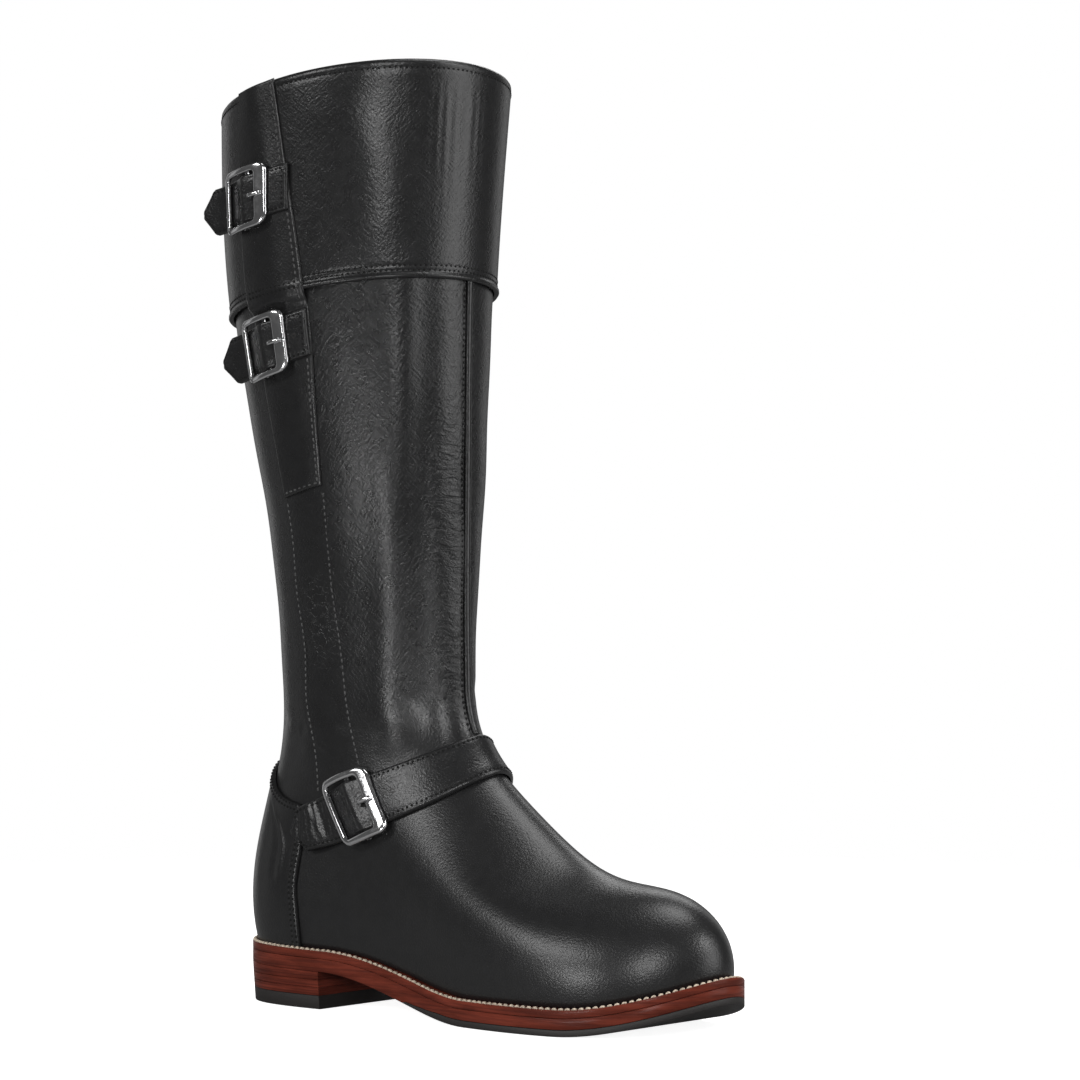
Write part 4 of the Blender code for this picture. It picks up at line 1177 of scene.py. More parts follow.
class BOOT_OT_upper(bpy.types.Operator):
    """Makes the upper's leather with its creases, the lining and the sock in the foot"""

    bl_idname = "boot.make_upper"
    bl_label = "Make upper and lining"

    def execute(self, context):
        foot = np.linspace(0, 1, 101)
        shaft = np.linspace(1, 1.7, 106)[1:]
        under_cuff = np.linspace(1.7, 2, 9)[1:]
        rows = np.concatenate([foot, shaft, under_cuff])
        rows[ZIP_LOW_ROW] = ZIP_LOW_V
        u, slot = upper_columns(rows, UPPER_OUTER, UPPER_INNER, EDGE_STEPS)
        v = np.broadcast_to(rows[:, None], u.shape)
        base = surface(u, v)
        along_v = slopes(u, v)[1]
        speed = girth(u, v)
        z = base[..., 2]
        creases = CREASES + seam_creases()
        lift = crease_relief(base.reshape(-1, 3), creases).reshape(u.shape)
        level = np.clip(z, 110, 345)
        fold = upright_fold(u, level, SHAFT_FOLD_Z, SHAFT_CREST, SHAFT_TROUGH, *SHAFT_FOLD)
        lift += fold * ease((z - 112) / 30) + shaft_wave(u, z)
        lift = np.maximum(lift + seam_groove(u, z, speed), CREASE_FLOOR)
        lift += roll(v * np.linalg.norm(along_v, axis=-1), FEATHER_ROLL) - 1
        beside = np.abs(u - ZIP_SPLINE(np.maximum(v, ZIP_LOW_V))) * speed - ZIP_HALF
        beside = np.where((u < 0) & (v >= ZIP_LOW_V - 0.001), beside, FAR)
        lift += ZIP_ROLL_HIGH * (roll(beside, ZIP_ROLL) - 1)
        lift = np.where(v > CUFF_COVERS_V, 0.0, lift)
        outside = base + normals(u, v) * lift[..., None]
        kept = sorted({*range(0, len(rows), INNER_ROW_STEP), ZIP_LOW_ROW, len(rows) - 1})
        inside = skin(u[kept], v[kept], -LEATHER)
        body = slotted_body(outside, inside, kept, slot, ZIP_LOW_ROW)
        hatch = ease((z - 118) / 40) * (0.55 + 0.45 * ease((0.75 - np.abs(u)) / 0.3))
        beside_seam = bell(u, 0.075, 0.060) + 0.7 * bell(u, -0.16, 0.08)
        spots = bell(z, 235, 34) + bell(z, 158, 20) + 0.25
        upper = Piece("upper_leather")
        upper.add(
            body,
            lay=flat(u * LAY_WIDTH, np.where(v < 1, v * ANKLE_Z, z)),
            hatch=hatch,
            crackle=bell(u, 0.55, 0.07) * bell(z, 182, 20),
            crumple=beside_seam * spots * ease((z - 128) / 14),
            polish=ease((z - 95) / 45),
        )
        upper.write(finish("upper_finish", black_leather), "black_leather", stands_for=("upper",))
        self.lining()
        self.sock()
        return {"FINISHED"}

    def lining(self):
        rows = np.concatenate([np.linspace(0, 1, 41), np.linspace(1, 2, 31)[1:]])
        slot_row = int(np.argmin(np.abs(rows - ZIP_LOW_V)))
        u, slot = upper_columns(rows, 90, 40, (0.5, 0.0))
        v = np.broadcast_to(rows[:, None], u.shape)
        outside = skin(u, v, -LEATHER - 0.1)
        inside = skin(u, v, -WALL)
        lining = Piece("shaft_lining")
        lining.add(slotted_body(outside, inside, list(range(len(rows))), slot, slot_row))
        lining.write(finish("lining_finish", lining_look), "lining_leather")

    def sock(self):
        plug = sole_outline(WELT_INSET + 2 * GAP)
        flange = sole_outline(INSOLE_INSET)
        count = 120
        loops = []
        for outline, edge, height in (
            (plug, 0.0, -WELT_THICK),
            (plug, 0.0, GAP),
            (flange, 0.0, GAP),
            (flange, 0.0, INSOLE_RISE - 0.8),
            (flange, -0.3, INSOLE_RISE - 0.2),
            (flange, -1.0, INSOLE_RISE),
        ):
            shape = grown(outline, edge)
            y = end_stations(shape[0][:, 1].min(), shape[0][:, 1].max(), True, True, count)
            loops.append(rungs(shape, y, sole_top(y) + height))
        sock = Piece("sock")
        sock.add(stack(loops))
        sock.write(finish("lining_finish", lining_look), "lining_leather", stands_for=("insole",))


def cuff_columns(count):
    """The u of the cuff's columns, from the zip's front edge round to its rear edge."""
    front = float(zip_sides(1.8, ZIP_HALF + CUFF_ZIP_SIDE))
    rear = float(zip_sides(1.8, -ZIP_HALF - CUFF_ZIP_SIDE)) + 2
    u = np.linspace(front, rear, count)
    ends = np.array([0.002, 0.006])
    return np.sort(np.concatenate([u, front + ends, rear - ends]))


CUFF_LIP_PROFILE = (
    (0.6, GAP),
    (-0.2, 0.7),
    (-0.4, 1.6),
    (-0.1, 2.5),
    (0.6, 2.95),
    (1.4, 2.85),
    (2.0, 2.35),
    (2.5, 2.0),
    (2.9, 1.9),
    (3.4, 1.72),
    (3.9, 1.9),
    (5.1, 1.9),
    (5.6, 1.72),
    (6.1, 1.9),
)
CUFF_TOP_PROFILE = (
    (-3.5, 1.9),
    (-2.9, 1.72),
    (-2.3, 1.9),
    (-1.2, 1.9),
    (-0.2, 1.75),
    (0.5, 1.2),
    (0.9, 0.2),
    (0.9, -1.2),
    (0.4, -2.3),
    (-0.8, -2.7),
    (-7.0, -2.7),
    (-7.4, -2.55),
    (-7.0, -2.4),
    (-1.0, -2.35),
    (0.3, -2.0),
    (0.4, 0.1),
    (-1.0, GAP),
)


# Plain part of the cuff: over its lower edge, under its upper edge
CUFF_PLAIN = (6.1, 4.6)


def cuff_wave(u, z):
    """Soft folds of the cuff: one crest with its trough, and small pleats under the collar."""
    near_top = ease((z - edge_height(u, COLLAR_EDGE) + 75) / 65)
    pleats = np.sin(2 * np.pi * u * 34 + 1.5 * np.sin(2 * np.pi * u * 9))
    pleats = 0.13 * near_top * pleats * bell(u, 0.07, 0.09)
    return upright_fold(u, z, CUFF_FOLD_Z, CUFF_CREST, CUFF_TROUGH, *CUFF_FOLD) + pleats


class BOOT_OT_cuff(bpy.types.Operator):
    """Makes the cuff with its rolled lip and turned top edge"""

    bl_idname = "boot.make_cuff"
    bl_label = "Make cuff"

    def execute(self, context):
        u = cuff_columns(380)
        low = edge_height(u, CUFF_EDGE)
        high = edge_height(u, COLLAR_EDGE)
        heights = [low + rise for rise, _ in CUFF_LIP_PROFILE]
        lifts = [np.full(u.shape, lift) for _, lift in CUFF_LIP_PROFILE]
        for share in np.linspace(0, 1, 58)[1:-1]:
            z = low + CUFF_PLAIN[0] + share * (high - CUFF_PLAIN[1] - low - CUFF_PLAIN[0])
            fade = min(1.0, 5 * share, 5 * (1 - share))
            heights.append(z)
            lifts.append(GAP + CUFF_THICK + fade * cuff_wave(u, z))
        heights += [high + rise for rise, _ in CUFF_TOP_PROFILE]
        lifts += [np.full(u.shape, lift) for _, lift in CUFF_TOP_PROFILE]
        for share in np.linspace(0, 1, 14)[1:-1]:
            heights.append(high - 1 + share * (low + 1.6 - high))
            lifts.append(np.full(u.shape, GAP))
        z = np.stack(heights, -1)
        lift = np.stack(lifts, -1)
        grid = np.broadcast_to(u[:, None], z.shape)
        run = np.minimum(np.arange(len(u)), np.arange(len(u))[::-1])
        squeeze = np.interp(run, (0, 1, 2), (0.25, 0.75, 1.0))[:, None]
        middle = 0.5 * (GAP + CUFF_THICK)
        lift = np.where(lift > -0.5, middle + (lift - middle) * squeeze, lift)
        v = np.minimum(leg_v(grid, z), 2)
        points = skin(grid, v, lift)
        points[..., 2] += np.maximum(z - high[:, None], 0)
        cuff = Piece("cuff_leather")
        cuff.add(tube(points), lay=flat(grid * LAY_WIDTH, z), hatch=0.65, polish=0.9)
        cuff.write(finish("cuff_finish", black_leather), "black_leather", stands_for=("cuff",))
        return {"FINISHED"}


def flap_seat(u, z):
    """Lift of the flap's under side: over the cuff above, close to the shaft below."""
    rear = ease((u - FLAP_SPLINE(z)) / 0.08)
    over_cuff = CUFF_THICK + 0.1 + (CUFF_LIP + GAP - 0.1) * rear
    above_lip = z - edge_height(u, CUFF_EDGE)
    lip = 0.9 * (1 - rear) * bell(above_lip, 1, 2.2)
    return GAP + over_cuff * ease((above_lip + FLAP_RAMP) / (FLAP_RAMP - 2)) + lip


def flap_thick(u, z):
    """Thickness of the flap, skived thin toward its sewn front edge."""
    return 0.7 + (FLAP_THICK - 0.7) * ease((u - FLAP_SPLINE(z)) / 0.05)


def spaced(length, step, edges=(0.0, 0.3, 0.9, 1.6)):
    """Places along a length, close together at both ends."""
    middle = np.linspace(edges[-1], length - edges[-1], max(int(length / step), 2))
    return np.concatenate([edges[:-1], middle, length - np.array(edges[:-1])[::-1]])


def flap_place(side, share):
    """The (u, z) of a place on the flap: side from its front to its rear edge, share up."""
    low = FLAP_LOW[0] + side * (FLAP_LOW[1] - FLAP_LOW[0])
    middle = FLAP_SPLINE(FLAP_LOW[0]) * (1 - side) + FLAP_REAR_U * side
    high = edge_height(middle, COLLAR_EDGE) - 0.2
    z = low + share * (high - low)
    front = FLAP_SPLINE(z)
    return front + side * (FLAP_REAR_U - front), z


def flap_skin(u, z, lift):
    v = np.minimum(leg_v(u, z), 2)
    points = skin(u, v, lift)
    points[..., 2] += np.maximum(z - edge_height(u, COLLAR_EDGE), 0)
    return points


FLAP_STEP = 0.55
FLAP_WIDE = 23.0
FLAP_TALL = 187.0


class BOOT_OT_flap(bpy.types.Operator):
    """Makes the flap on the calf that carries the two straps"""

    bl_idname = "boot.make_flap"
    bl_label = "Make calf flap"

    def execute(self, context):
        side_mm = spaced(FLAP_WIDE, 0.8)
        share_mm = spaced(FLAP_TALL, 1.3)
        side, share = np.meshgrid(side_mm / FLAP_WIDE, share_mm / FLAP_TALL)
        u, z = flap_place(side, share)
        from_side = np.minimum(side, 1 - side) * FLAP_WIDE
        from_end = np.minimum(share, 1 - share) * FLAP_TALL
        edge = np.minimum(from_side, from_end)
        seat = flap_seat(u, z)
        cuff_line = edge_height(u, CUFF_EDGE)
        step = FLAP_STEP * ease((z - cuff_line - 0.2) / 0.8)
        wave = 0.22 * np.sin(2 * np.pi * z / 47 + 3 * side) * np.sin(np.pi * side)
        over = seat + 0.2 + (flap_thick(u, z) - 0.2 + step + wave) * roll(edge, 0.9)
        flap = Piece("flap_leather")
        body = panel(flap_skin(u, z, seat), flap_skin(u, z, over))
        flap.add(body, lay=both_sides(flat(u * LAY_WIDTH, z)), hatch=0.35, polish=0.9)
        leather = finish("cuff_finish", black_leather)
        flap.write(leather, "black_leather", stands_for=("calf_flap",))
        return {"FINISHED"}


def counter_place(across, share):
    """The (u, z) of a place on the heel counter: across from outer to inner edge, share up."""
    depth = 1 - np.abs(across)
    top = COUNTER_SPLINE(depth)
    lean = ease((share - 0.35) / 0.65)
    front = COUNTER_FRONT_LOW + (COUNTER_FRONT_HIGH - COUNTER_FRONT_LOW) * lean
    part = front + (1 - front) * depth
    u = np.where(across <= 0, part, -part)
    foot = sole_top(feather(u)[..., 1]) + 2 * GAP
    return u, foot + share * (top - foot)


COUNTER_WIDE = 128.0
COUNTER_TALL = 78.0


def counter_lift(across, share):
    """Outer lift of the counter: rounded edges, a band along them and one upright crease."""
    front = (1 - np.abs(across)) * COUNTER_WIDE / 2
    edge = np.minimum(front, (1 - share) * COUNTER_TALL)
    band = 0.30 * ease((COUNTER_BAND + 0.7 - edge) / 1.0)
    groove = -0.25 * bell(edge, COUNTER_BAND + 0.5, 0.5)
    place = front - 13.0 - 5.0 * np.maximum(share - 0.62, 0) ** 2 * 40
    fade = ease((share - 0.40) / 0.15) * ease((0.92 - share) / 0.1)
    crease = (0.55 * bell(place, 0.0, 1.7) - 0.35 * bell(place, 4.0, 2.6)) * fade
    crease = np.where(across < 0, crease, 0.4 * crease)
    return COUNTER_SEAT + 0.2 + (COUNTER_THICK - 0.2 + band + groove + crease) * roll(edge, 1.2)


class BOOT_OT_counter(bpy.types.Operator):
    """Makes the counter round the heel with its stitched band"""

    bl_idname = "boot.make_counter"
    bl_label = "Make heel counter"

    def execute(self, context):
        wide = spaced(COUNTER_WIDE, 1.0) / COUNTER_WIDE * 2 - 1
        tall = spaced(COUNTER_TALL, 1.0) / COUNTER_TALL
        across, share = np.meshgrid(wide, tall)
        u, z = counter_place(across, share)
        v = v_at_height(u, z)
        under = skin(u, v, COUNTER_SEAT)
        over = skin(u, v, counter_lift(across, share))
        counter = Piece("counter_leather")
        counter.add(panel(under, over), polish=0.55)
        leather = finish("foot_finish", black_leather)
        counter.write(leather, "black_leather", stands_for=("heel_counter",))
        return {"FINISHED"}


class BOOT_OT_piping(bpy.types.Operator):
    """Makes the leather cord down the front seam"""

    bl_idname = "boot.make_piping"
    bl_label = "Make front piping"

    def execute(self, context):
        low = float(STRAP_HIGH(0.0)) + 0.8
        high = float(edge_height(0.0, CUFF_EDGE)) - 0.3
        z = np.linspace(low, high, 150)[:, None]
        angle = np.radians(np.linspace(-8, 188, 12))
        across = np.cos(angle)
        v = v_at_height(0.0, z)
        u = across * PIPING_HALF / girth(0.0, v)
        v = np.broadcast_to(v, u.shape)
        lift = GAP + 0.2 + (PIPING_HIGH - 0.5) * np.sin(angle) * np.ones(u.shape)
        cord = Piece("front_piping_leather")
        cord.add(tube(skin(u, v, lift)), polish=0.8)
        leather = finish("cuff_finish", black_leather)
        cord.write(leather, "black_leather", stands_for=("front_piping",))
        return {"FINISHED"}


class StrapFrame:
    """Places on a strap: t along it from the buckle, + toward the toe, w up and h outward."""

    def __init__(self, middle, stretch, buckle_u, seat, u_range):
        self.middle = middle
        self.stretch = stretch
        self.seat = seat
        self.u = np.linspace(*u_range, 240)
        z = middle(self.u)
        line = skin_at_height(self.u, z, seat(self.u, z) + STRAP_THICK)
        self.t = np.interp(buckle_u, self.u, run_length(line)) - run_length(line)

    def place(self, t, w, h):
        t, w, h = np.broadcast_arrays(*[np.asarray(k, float) for k in (t, w, h)])
        u = np.interp(t, self.t[::-1], self.u[::-1])
        z = self.middle(u) + w * self.stretch(u)
        return skin_at_height(u, z, self.seat(u, z) + h)

    def t_at(self, u):
        return float(np.interp(u, self.u, self.t))


class Strap:
    """One strap with its frame, its ends and its width."""

    def __init__(self, name, frame_of, width, tip, end, stand_off=0.0, shear=0.0):
        self.name = name
        self.frame = frame_of
        self.width = width
        self.tip = tip
        self.end = end
        self.stand_off = stand_off
        self.shear = shear
        self.point = STRAP_POINT if name == "ankle" else CALF_POINT

    def lift(self, t):
        """Under side of the strap: over the buckle's centre bar, and standing off at its tip."""
        hump = GAP + STRAP_HUMP * bell(t, 0.0, STRAP_HUMP_RUN)
        return hump + self.stand_off * np.maximum(-FRAME_LENGTH / 2 + 2 - t, 0) ** 2

    def half_width(self, t):
        return self.width / 2 * np.clip(0.12 + 0.88 * (t - self.tip) / self.point, 0, 1)

    def sheared(self, t, w):
        return t + self.shear * w * ease((t - (self.end - 30)) / 30)

    def place(self, t, w, h):
        """Point on the strap at a height over its under side."""
        return self.frame.place(self.sheared(t, w), w, self.lift(t) + h)


def ankle_strap():
    def middle(u):
        return (STRAP_LOW(u) + STRAP_HIGH(u)) / 2

    def stretch(u):
        return (STRAP_HIGH(u) - STRAP_LOW(u)) / ANKLE_WIDTH

    def seat(u, z):
        over_counter = COUNTER_SEAT + COUNTER_THICK
        return ANKLE_SEAT + over_counter * ease((u - 0.64) / 0.08)

    guide = StrapFrame(middle, stretch, ANKLE_BUCKLE_U, seat, (-0.56, 0.86))
    end = guide.t_at(ANKLE_END_U)
    return Strap("ankle", guide, ANKLE_WIDTH, ANKLE_TIP, end, shear=ANKLE_END_SHEAR)


def calf_strap(name, buckle_u, sewn_z, buckle_z, sewn_u, tip):
    def middle(u):
        return buckle_z + (sewn_z - buckle_z) * (buckle_u - u) / (buckle_u - sewn_u)

    def stretch(u):
        return np.ones(np.shape(u))

    def seat(u, z):
        return flap_seat(u, z) + flap_thick(u, z)

    guide = StrapFrame(middle, stretch, buckle_u, seat, (sewn_u - 0.03, buckle_u + 0.20))
    return Strap("calf_" + name, guide, CALF_WIDTH, tip, guide.t_at(sewn_u), TIP_STAND_OFF)


STRAPS = [ankle_strap()] + [calf_strap(*row) for row in CALF_STRAPS]


def strap_wrinkles(strap, t, w):
    """Pressed creases of the strap near its buckle, strong in the free end of the ankle strap."""
    random = np.random.default_rng(len(strap.name))
    total = np.zeros(np.shape(t))
    free_end = strap.name == "ankle"
    for _ in range(46 if free_end else 14):
        at = random.uniform(strap.tip + 5, -11) if free_end else random.uniform(-9, 9)
        side = random.uniform(-0.5, 0.5) * strap.width
        lean = random.uniform(-0.25, 0.45)
        size = random.uniform(0.5, 0.9)
        reach = random.uniform(3, 8)
        depth = random.uniform(0.10, 0.32) * random.choice([-1, 1])
        across = (t - at - lean * (w - side)) / size
        total += depth * np.exp(-(across**2) - ((w - side) / reach) ** 2)
    return total if free_end else 0.4 * total


STRAP_HOLES = {"ankle": (22.5, -6.5), "calf_upper": (17.5, -7.5), "calf_lower": (18.5, -7.5)}
HOLE_RADIUS = 1.0

# Dark dull cap over a punched hole with its raised rim, painted shade of the hole: share of its
# radius, height over the strap's under side
HOLE_RIM = (
    (0.05, STRAP_THICK + 0.10),
    (0.55, STRAP_THICK + 0.12),
    (1.0, STRAP_THICK + 0.20),
    (1.2, STRAP_THICK + 0.12),
    (1.2, 1.4),
)


class BOOT_OT_straps(bpy.types.Operator):
    """Makes the three straps with their rounded edges and creases, and dark caps over the punched
    holes as painted shade
    """

    bl_idname = "boot.make_straps"
    bl_label = "Make straps"

    def execute(self, context):
        for strap in STRAPS:
            node = "ankle_strap" if strap.name == "ankle" else "calf_strap_" + strap.name[5:]
            length = strap.end - strap.tip
            t = strap.tip + spaced(length, 0.75)
            across = spaced(strap.width, 0.9) / strap.width * 2 - 1
            t, across = np.meshgrid(t, across)
            w = across * strap.half_width(t)
            side = (1 - np.abs(across)) * strap.half_width(t)
            edge = np.minimum(side, np.minimum(t - strap.tip, strap.end - t))
            channel = -0.22 * bell(side, STRAP_SEAM, 0.6)
            fade = roll(edge, 2.5)
            top = 0.25 + (STRAP_THICK - 0.25 + 0.15 * ease(side / 4) + channel) * roll(edge, 1.3)
            top += fade * strap_wrinkles(strap, t, w)
            under = strap.place(t, w, 0.0)
            over = strap.place(t, w, top)
            piece = Piece(node + "_leather")
            shine = both_sides(np.where(np.abs(t) < 9, 1.6, 0.9))
            piece.add(panel(under, over), lay=both_sides(flat(t, w)), hatch=0.25, polish=shine)
            leather = finish("strap_finish", black_leather, 1.3)
            piece.write(leather, "black_leather", stands_for=(node,))
        self.holes()
        return {"FINISHED"}

    def holes(self):
        # Each punched hole is a closed dark cap in the dull rubber finish, not an opening: painted
        # shade of the hole.
        shade_caps = Piece("strap_hole_rims")
        angle = circle(16)
        for strap in STRAPS:
            for middle in STRAP_HOLES[strap.name]:
                rings = []
                for size, high in HOLE_RIM:
                    t = middle + HOLE_RADIUS * size * np.cos(angle)
                    w = HOLE_RADIUS * size * np.sin(angle)
                    rings.append(strap.place(t, w, high))
                shade_caps.add(tube(np.array(rings)))
        shade_caps.write(finish("black_rubber_finish", rubber_look), "black_leather")


def rounded_window(t_low, t_high, half, radius, per_corner=12, per_side=8):
    """Points of a rectangle with round corners, in the order of the four corners."""
    centres = (
        (t_high - radius, half - radius, 0),
        (t_low + radius, half - radius, 90),
        (t_low + radius, -half + radius, 180),
        (t_high - radius, -half + radius, 270),
    )
    corners = []
    for t, w, start in centres:
        angles = np.radians(np.linspace(start, start + 90, per_corner))
        corners.append(np.stack([t + radius * np.cos(angles), w + radius * np.sin(angles)], -1))
    points = []
    for i in range(4):
        points.append(corners[i])
        share = np.linspace(0, 1, per_side + 2)[1:-1, None]
        points.append(corners[i][-1] + share * (corners[(i + 1) % 4][0] - corners[i][-1]))
    return np.concatenate(points)


# Section of a buckle's frame: share from the window to the outer edge, share of the height
FRAME_SECTION = (
    (0.10, 0.00),
    (0.90, 0.00),
    (1.00, 0.18),
    (1.00, 0.52),
    (0.95, 0.78),
    (0.84, 0.94),
    (0.66, 1.00),
    (0.34, 1.00),
    (0.16, 0.95),
    (0.05, 0.82),
    (0.00, 0.60),
    (0.00, 0.15),
)


class BOOT_OT_buckles(bpy.types.Operator):
    """Makes the three steel buckles and their prongs"""

    bl_idname = "boot.make_buckles"
    bl_label = "Make buckles"

    def execute(self, context):
        for strap in STRAPS:
            self.frame(strap)
            self.prong(strap)
        return {"FINISHED"}

    def frame(self, strap):
        inner_half = strap.width / 2 + FRAME_CLEAR
        outer_half = inner_half + FRAME_RAIL
        reach = FRAME_LENGTH / 2
        outer = rounded_window(-reach, reach, outer_half, FRAME_CORNER)
        rear = -reach + FRAME_BAR_REAR
        inner = rounded_window(rear, reach - FRAME_BAR_FRONT, inner_half, WINDOW_CORNER)
        section = np.array(FRAME_SECTION)
        plan = inner[:, None] + section[None, :, :1] * (outer - inner)[:, None]
        height = FRAME_LOW + section[None, :, 1] * (FRAME_HIGH - FRAME_LOW)
        height = height + FRAME_BOW * (1 - (plan[..., 0] / reach) ** 2)
        buckle = Piece("buckle_" + strap.name + "_steel")
        buckle.add(ring_tube(strap.frame.place(plan[..., 0], plan[..., 1], height)))
        post = outer_half - 0.6
        path = [(-post, FRAME_LOW + 1), (-post, 1.6), (-post + 0.8, 1.3)]
        path += [(-w, h) for w, h in path[::-1]]
        angle = circle(12)
        t = BAR_HALF * np.cos(angle)
        side = (BAR_HIGH - GAP) / 2 * np.sin(angle)
        rings = []
        for w, h in path:
            if abs(w) == post:
                rings.append(strap.frame.place(t, w + 0.7 * side, h))
            else:
                rings.append(strap.frame.place(t, w, h + side))
        buckle.add(tube(np.array(rings)))
        steel = finish("polished_steel_finish", steel_look)
        buckle.write(steel, "polished_steel", stands_for=("buckle_" + strap.name,))

    def prong(self, strap):
        rest = FRAME_HIGH + GAP + PRONG_RADIUS
        path = np.array([
            (3.4, rest - 3.0),
            (4.6, rest - 1.5),
            (5.6, rest - 0.4),
            (6.6, rest + 0.3),
            (8.0, rest + 0.7),
            (10.0, rest + 0.6),
            (PRONG_REACH - 1.4, rest + 0.2),
            (PRONG_REACH - 0.5, rest),
            (PRONG_REACH - 0.1, rest - 0.1),
            (PRONG_REACH, rest - 0.1),
        ])
        width = np.array([1, 1, 1.05, 1.05, 1.05, 1, 0.95, 0.8, 0.45, 0.15])
        run = unit(np.gradient(path, axis=0))
        angle = circle(14)
        rings = []
        for (t, h), (along_t, along_h), share in zip(path, run, width):
            radius = PRONG_RADIUS * share
            side_t = t - along_h * radius * np.sin(angle)
            side_h = h + along_t * radius * np.sin(angle)
            rings.append(strap.frame.place(side_t, radius * np.cos(angle), side_h))
        prong = Piece("prong_" + strap.name + "_steel")
        prong.add(tube(np.array(rings)))
        steel = finish("polished_steel_finish", steel_look)
        prong.write(steel, "polished_steel", stands_for=("prong_" + strap.name,))


def zip_line(v, side, lift):
    """Line of points on the zip, a distance beside its middle."""
    return skin(zip_sides(v, side), v, lift)


def slider_frame():
    """Place and axes of the slider: along the zip, across it and out of it."""
    u = float(ZIP_SPLINE(SLIDER_V))
    place = skin(u, SLIDER_V, ZIP_OUTER)
    next_v = SLIDER_V + 0.02
    along = unit(skin(ZIP_SPLINE(next_v), next_v, ZIP_OUTER) - place)
    out = skin(u, SLIDER_V, 1.0) - place
    out = unit(out - along * (out @ along))
    return place, np.stack([along, np.cross(out, along), out])


def rounded_slab(outline, low, high, bevel):
    """Closed body over an outline of (first, second) points, with bevelled edges."""
    outline = np.asarray(outline, float)
    small = outline - unit(outline - outline.mean(axis=0)) * bevel
    rings = []
    levels = ((small, low), (outline, low + bevel), (outline, high - bevel), (small, high))
    for shape, height in levels:
        rings.append(np.concatenate([shape, np.full((len(shape), 1), height)], axis=1))
    return tube(np.array(rings))


class BOOT_OT_zip(bpy.types.Operator):
    """Makes the zip's tape and coil, its slider and its pull tab"""

    bl_idname = "boot.make_zip"
    bl_label = "Make zip"

    def execute(self, context):
        v = np.linspace(ZIP_LOW_V + 0.004, 2.0, 230)[:, None]
        half = ZIP_HALF - GAP
        sides = np.linspace(half, -half, 9)
        u = np.concatenate([zip_sides(v, side) for side in sides], axis=1)
        grid = np.broadcast_to(v, u.shape)
        under = skin(u, grid, ZIP_INNER)
        over = skin(u, grid, ZIP_OUTER - 0.5)
        tape = Piece("zip_tape")
        lay = flat(np.broadcast_to(sides, u.shape), under[..., 2])
        tape.add(panel(under, over), lay=both_sides(lay))
        tape.write(finish("zip_tape_finish", tape_look), "black_fabric", stands_for=("zip",))
        self.coil()
        self.slider()
        return {"FINISHED"}

    def coil(self):
        """Two rows of coil teeth that mesh along the middle of the tape."""
        v = np.linspace(ZIP_LOW_V + 0.01, 1.995, 900)
        run = run_length(zip_line(v, 0.0, ZIP_OUTER))
        angle = circle(6)[:, None, None]
        count = int(run[-1] / COIL_PITCH)
        teeth = Piece("zip_coil")
        for side, shift in ((1, 0.25), (-1, 0.75)):
            at = np.interp((np.arange(count) + shift) * COIL_PITCH, run, v)
            rings = []
            for across, size in COIL_TOOTH:
                place = zip_line(at, side * across, ZIP_OUTER - 0.25)
                ahead = unit(zip_line(at + 0.002, side * across, ZIP_OUTER - 0.25) - place)
                out = zip_line(at, side * across, ZIP_OUTER + 0.75) - place
                rings.append(place + size * (np.cos(angle) * ahead + np.sin(angle) * out))
            teeth.add(tubes(np.array(rings).transpose(2, 0, 1, 3)))
        teeth.write(finish("zip_tape_finish", tape_look), "black_fabric")

    def slider(self):
        place, axes = slider_frame()
        half = SLIDER_LENGTH / 2
        side = SLIDER_WIDTH / 2
        outline = [
            (half, side - 1.4),
            (half - 1.4, side),
            (-half + 3.4, side - 0.2),
            (-half + 0.9, side - 0.9),
            (-half, side - 1.8),
        ]
        outline += [(t, -w) for t, w in outline[::-1]]
        hinge = half - 1 - EAR_LENGTH / 2
        slider = Piece("slider_metal")
        body, faces = rounded_slab(outline, 2 * GAP, SLIDER_HIGH, 0.45)
        slider.add((place + body @ axes, faces))
        for sign in (1, -1):
            middle = sign * (side - EAR_WALL / 2)
            angle = np.radians(np.linspace(0, 180, 9))
            along = hinge + EAR_LENGTH / 2 * np.cos(angle)
            ear = list(zip(along, SLIDER_HIGH + 0.8 + 1.6 * np.sin(angle)))
            ear.append((half - 1 - EAR_LENGTH, SLIDER_HIGH - 0.6))
            ear.append((half - 1, SLIDER_HIGH - 0.6))
            wall = EAR_WALL / 2 - 0.02
            body, faces = rounded_slab(ear, middle - wall, middle + wall, 0.2)
            slider.add((place + body[:, [0, 2, 1]] @ axes, faces))
        metal = finish("black_metal_finish", metal_look)
        slider.write(metal, "black_metal", stands_for=("zip_slider",), crisp=35)
        radius = PULL_THICK / 2
        height = SLIDER_HIGH + GAP + radius + 0.1
        wide = PULL_WIDTH / 2
        tab = Piece("pull_tab_metal")
        outline = [(hinge + t, wide * share) for t, share in PULL_OUTLINE]
        outline += [(t, -w) for t, w in outline[::-1]]
        body, faces = rounded_slab(outline, height - radius + 0.1, height + radius - 0.1, 0.35)
        tab.add((place + body @ axes, faces))
        tab.write(metal, "black_metal", "pull_tab", ("zip_pull",), crisp=35)


def sole_outline(inset, samples=1200):
    """Outer and inner side of the sole's outline from toe to heel, moved in by inset."""
    u = np.linspace(-1, 1, samples, endpoint=False)
    edge = EDGE_SPLINE(np.abs(u)) if inset is None else -np.full(u.shape, float(inset))
    line = feather(u) + outward(u) * edge[:, None]
    line = np.roll(line, -int(np.argmin(line[:, 1])), axis=0)
    heel = int(np.argmax(line[:, 1]))
    first = line[: heel + 1]
    second = np.concatenate([line[heel:], line[:1]])[::-1]
    return (first, second) if first[heel // 2, 0] < second[len(second) // 2, 0] else (second, first)


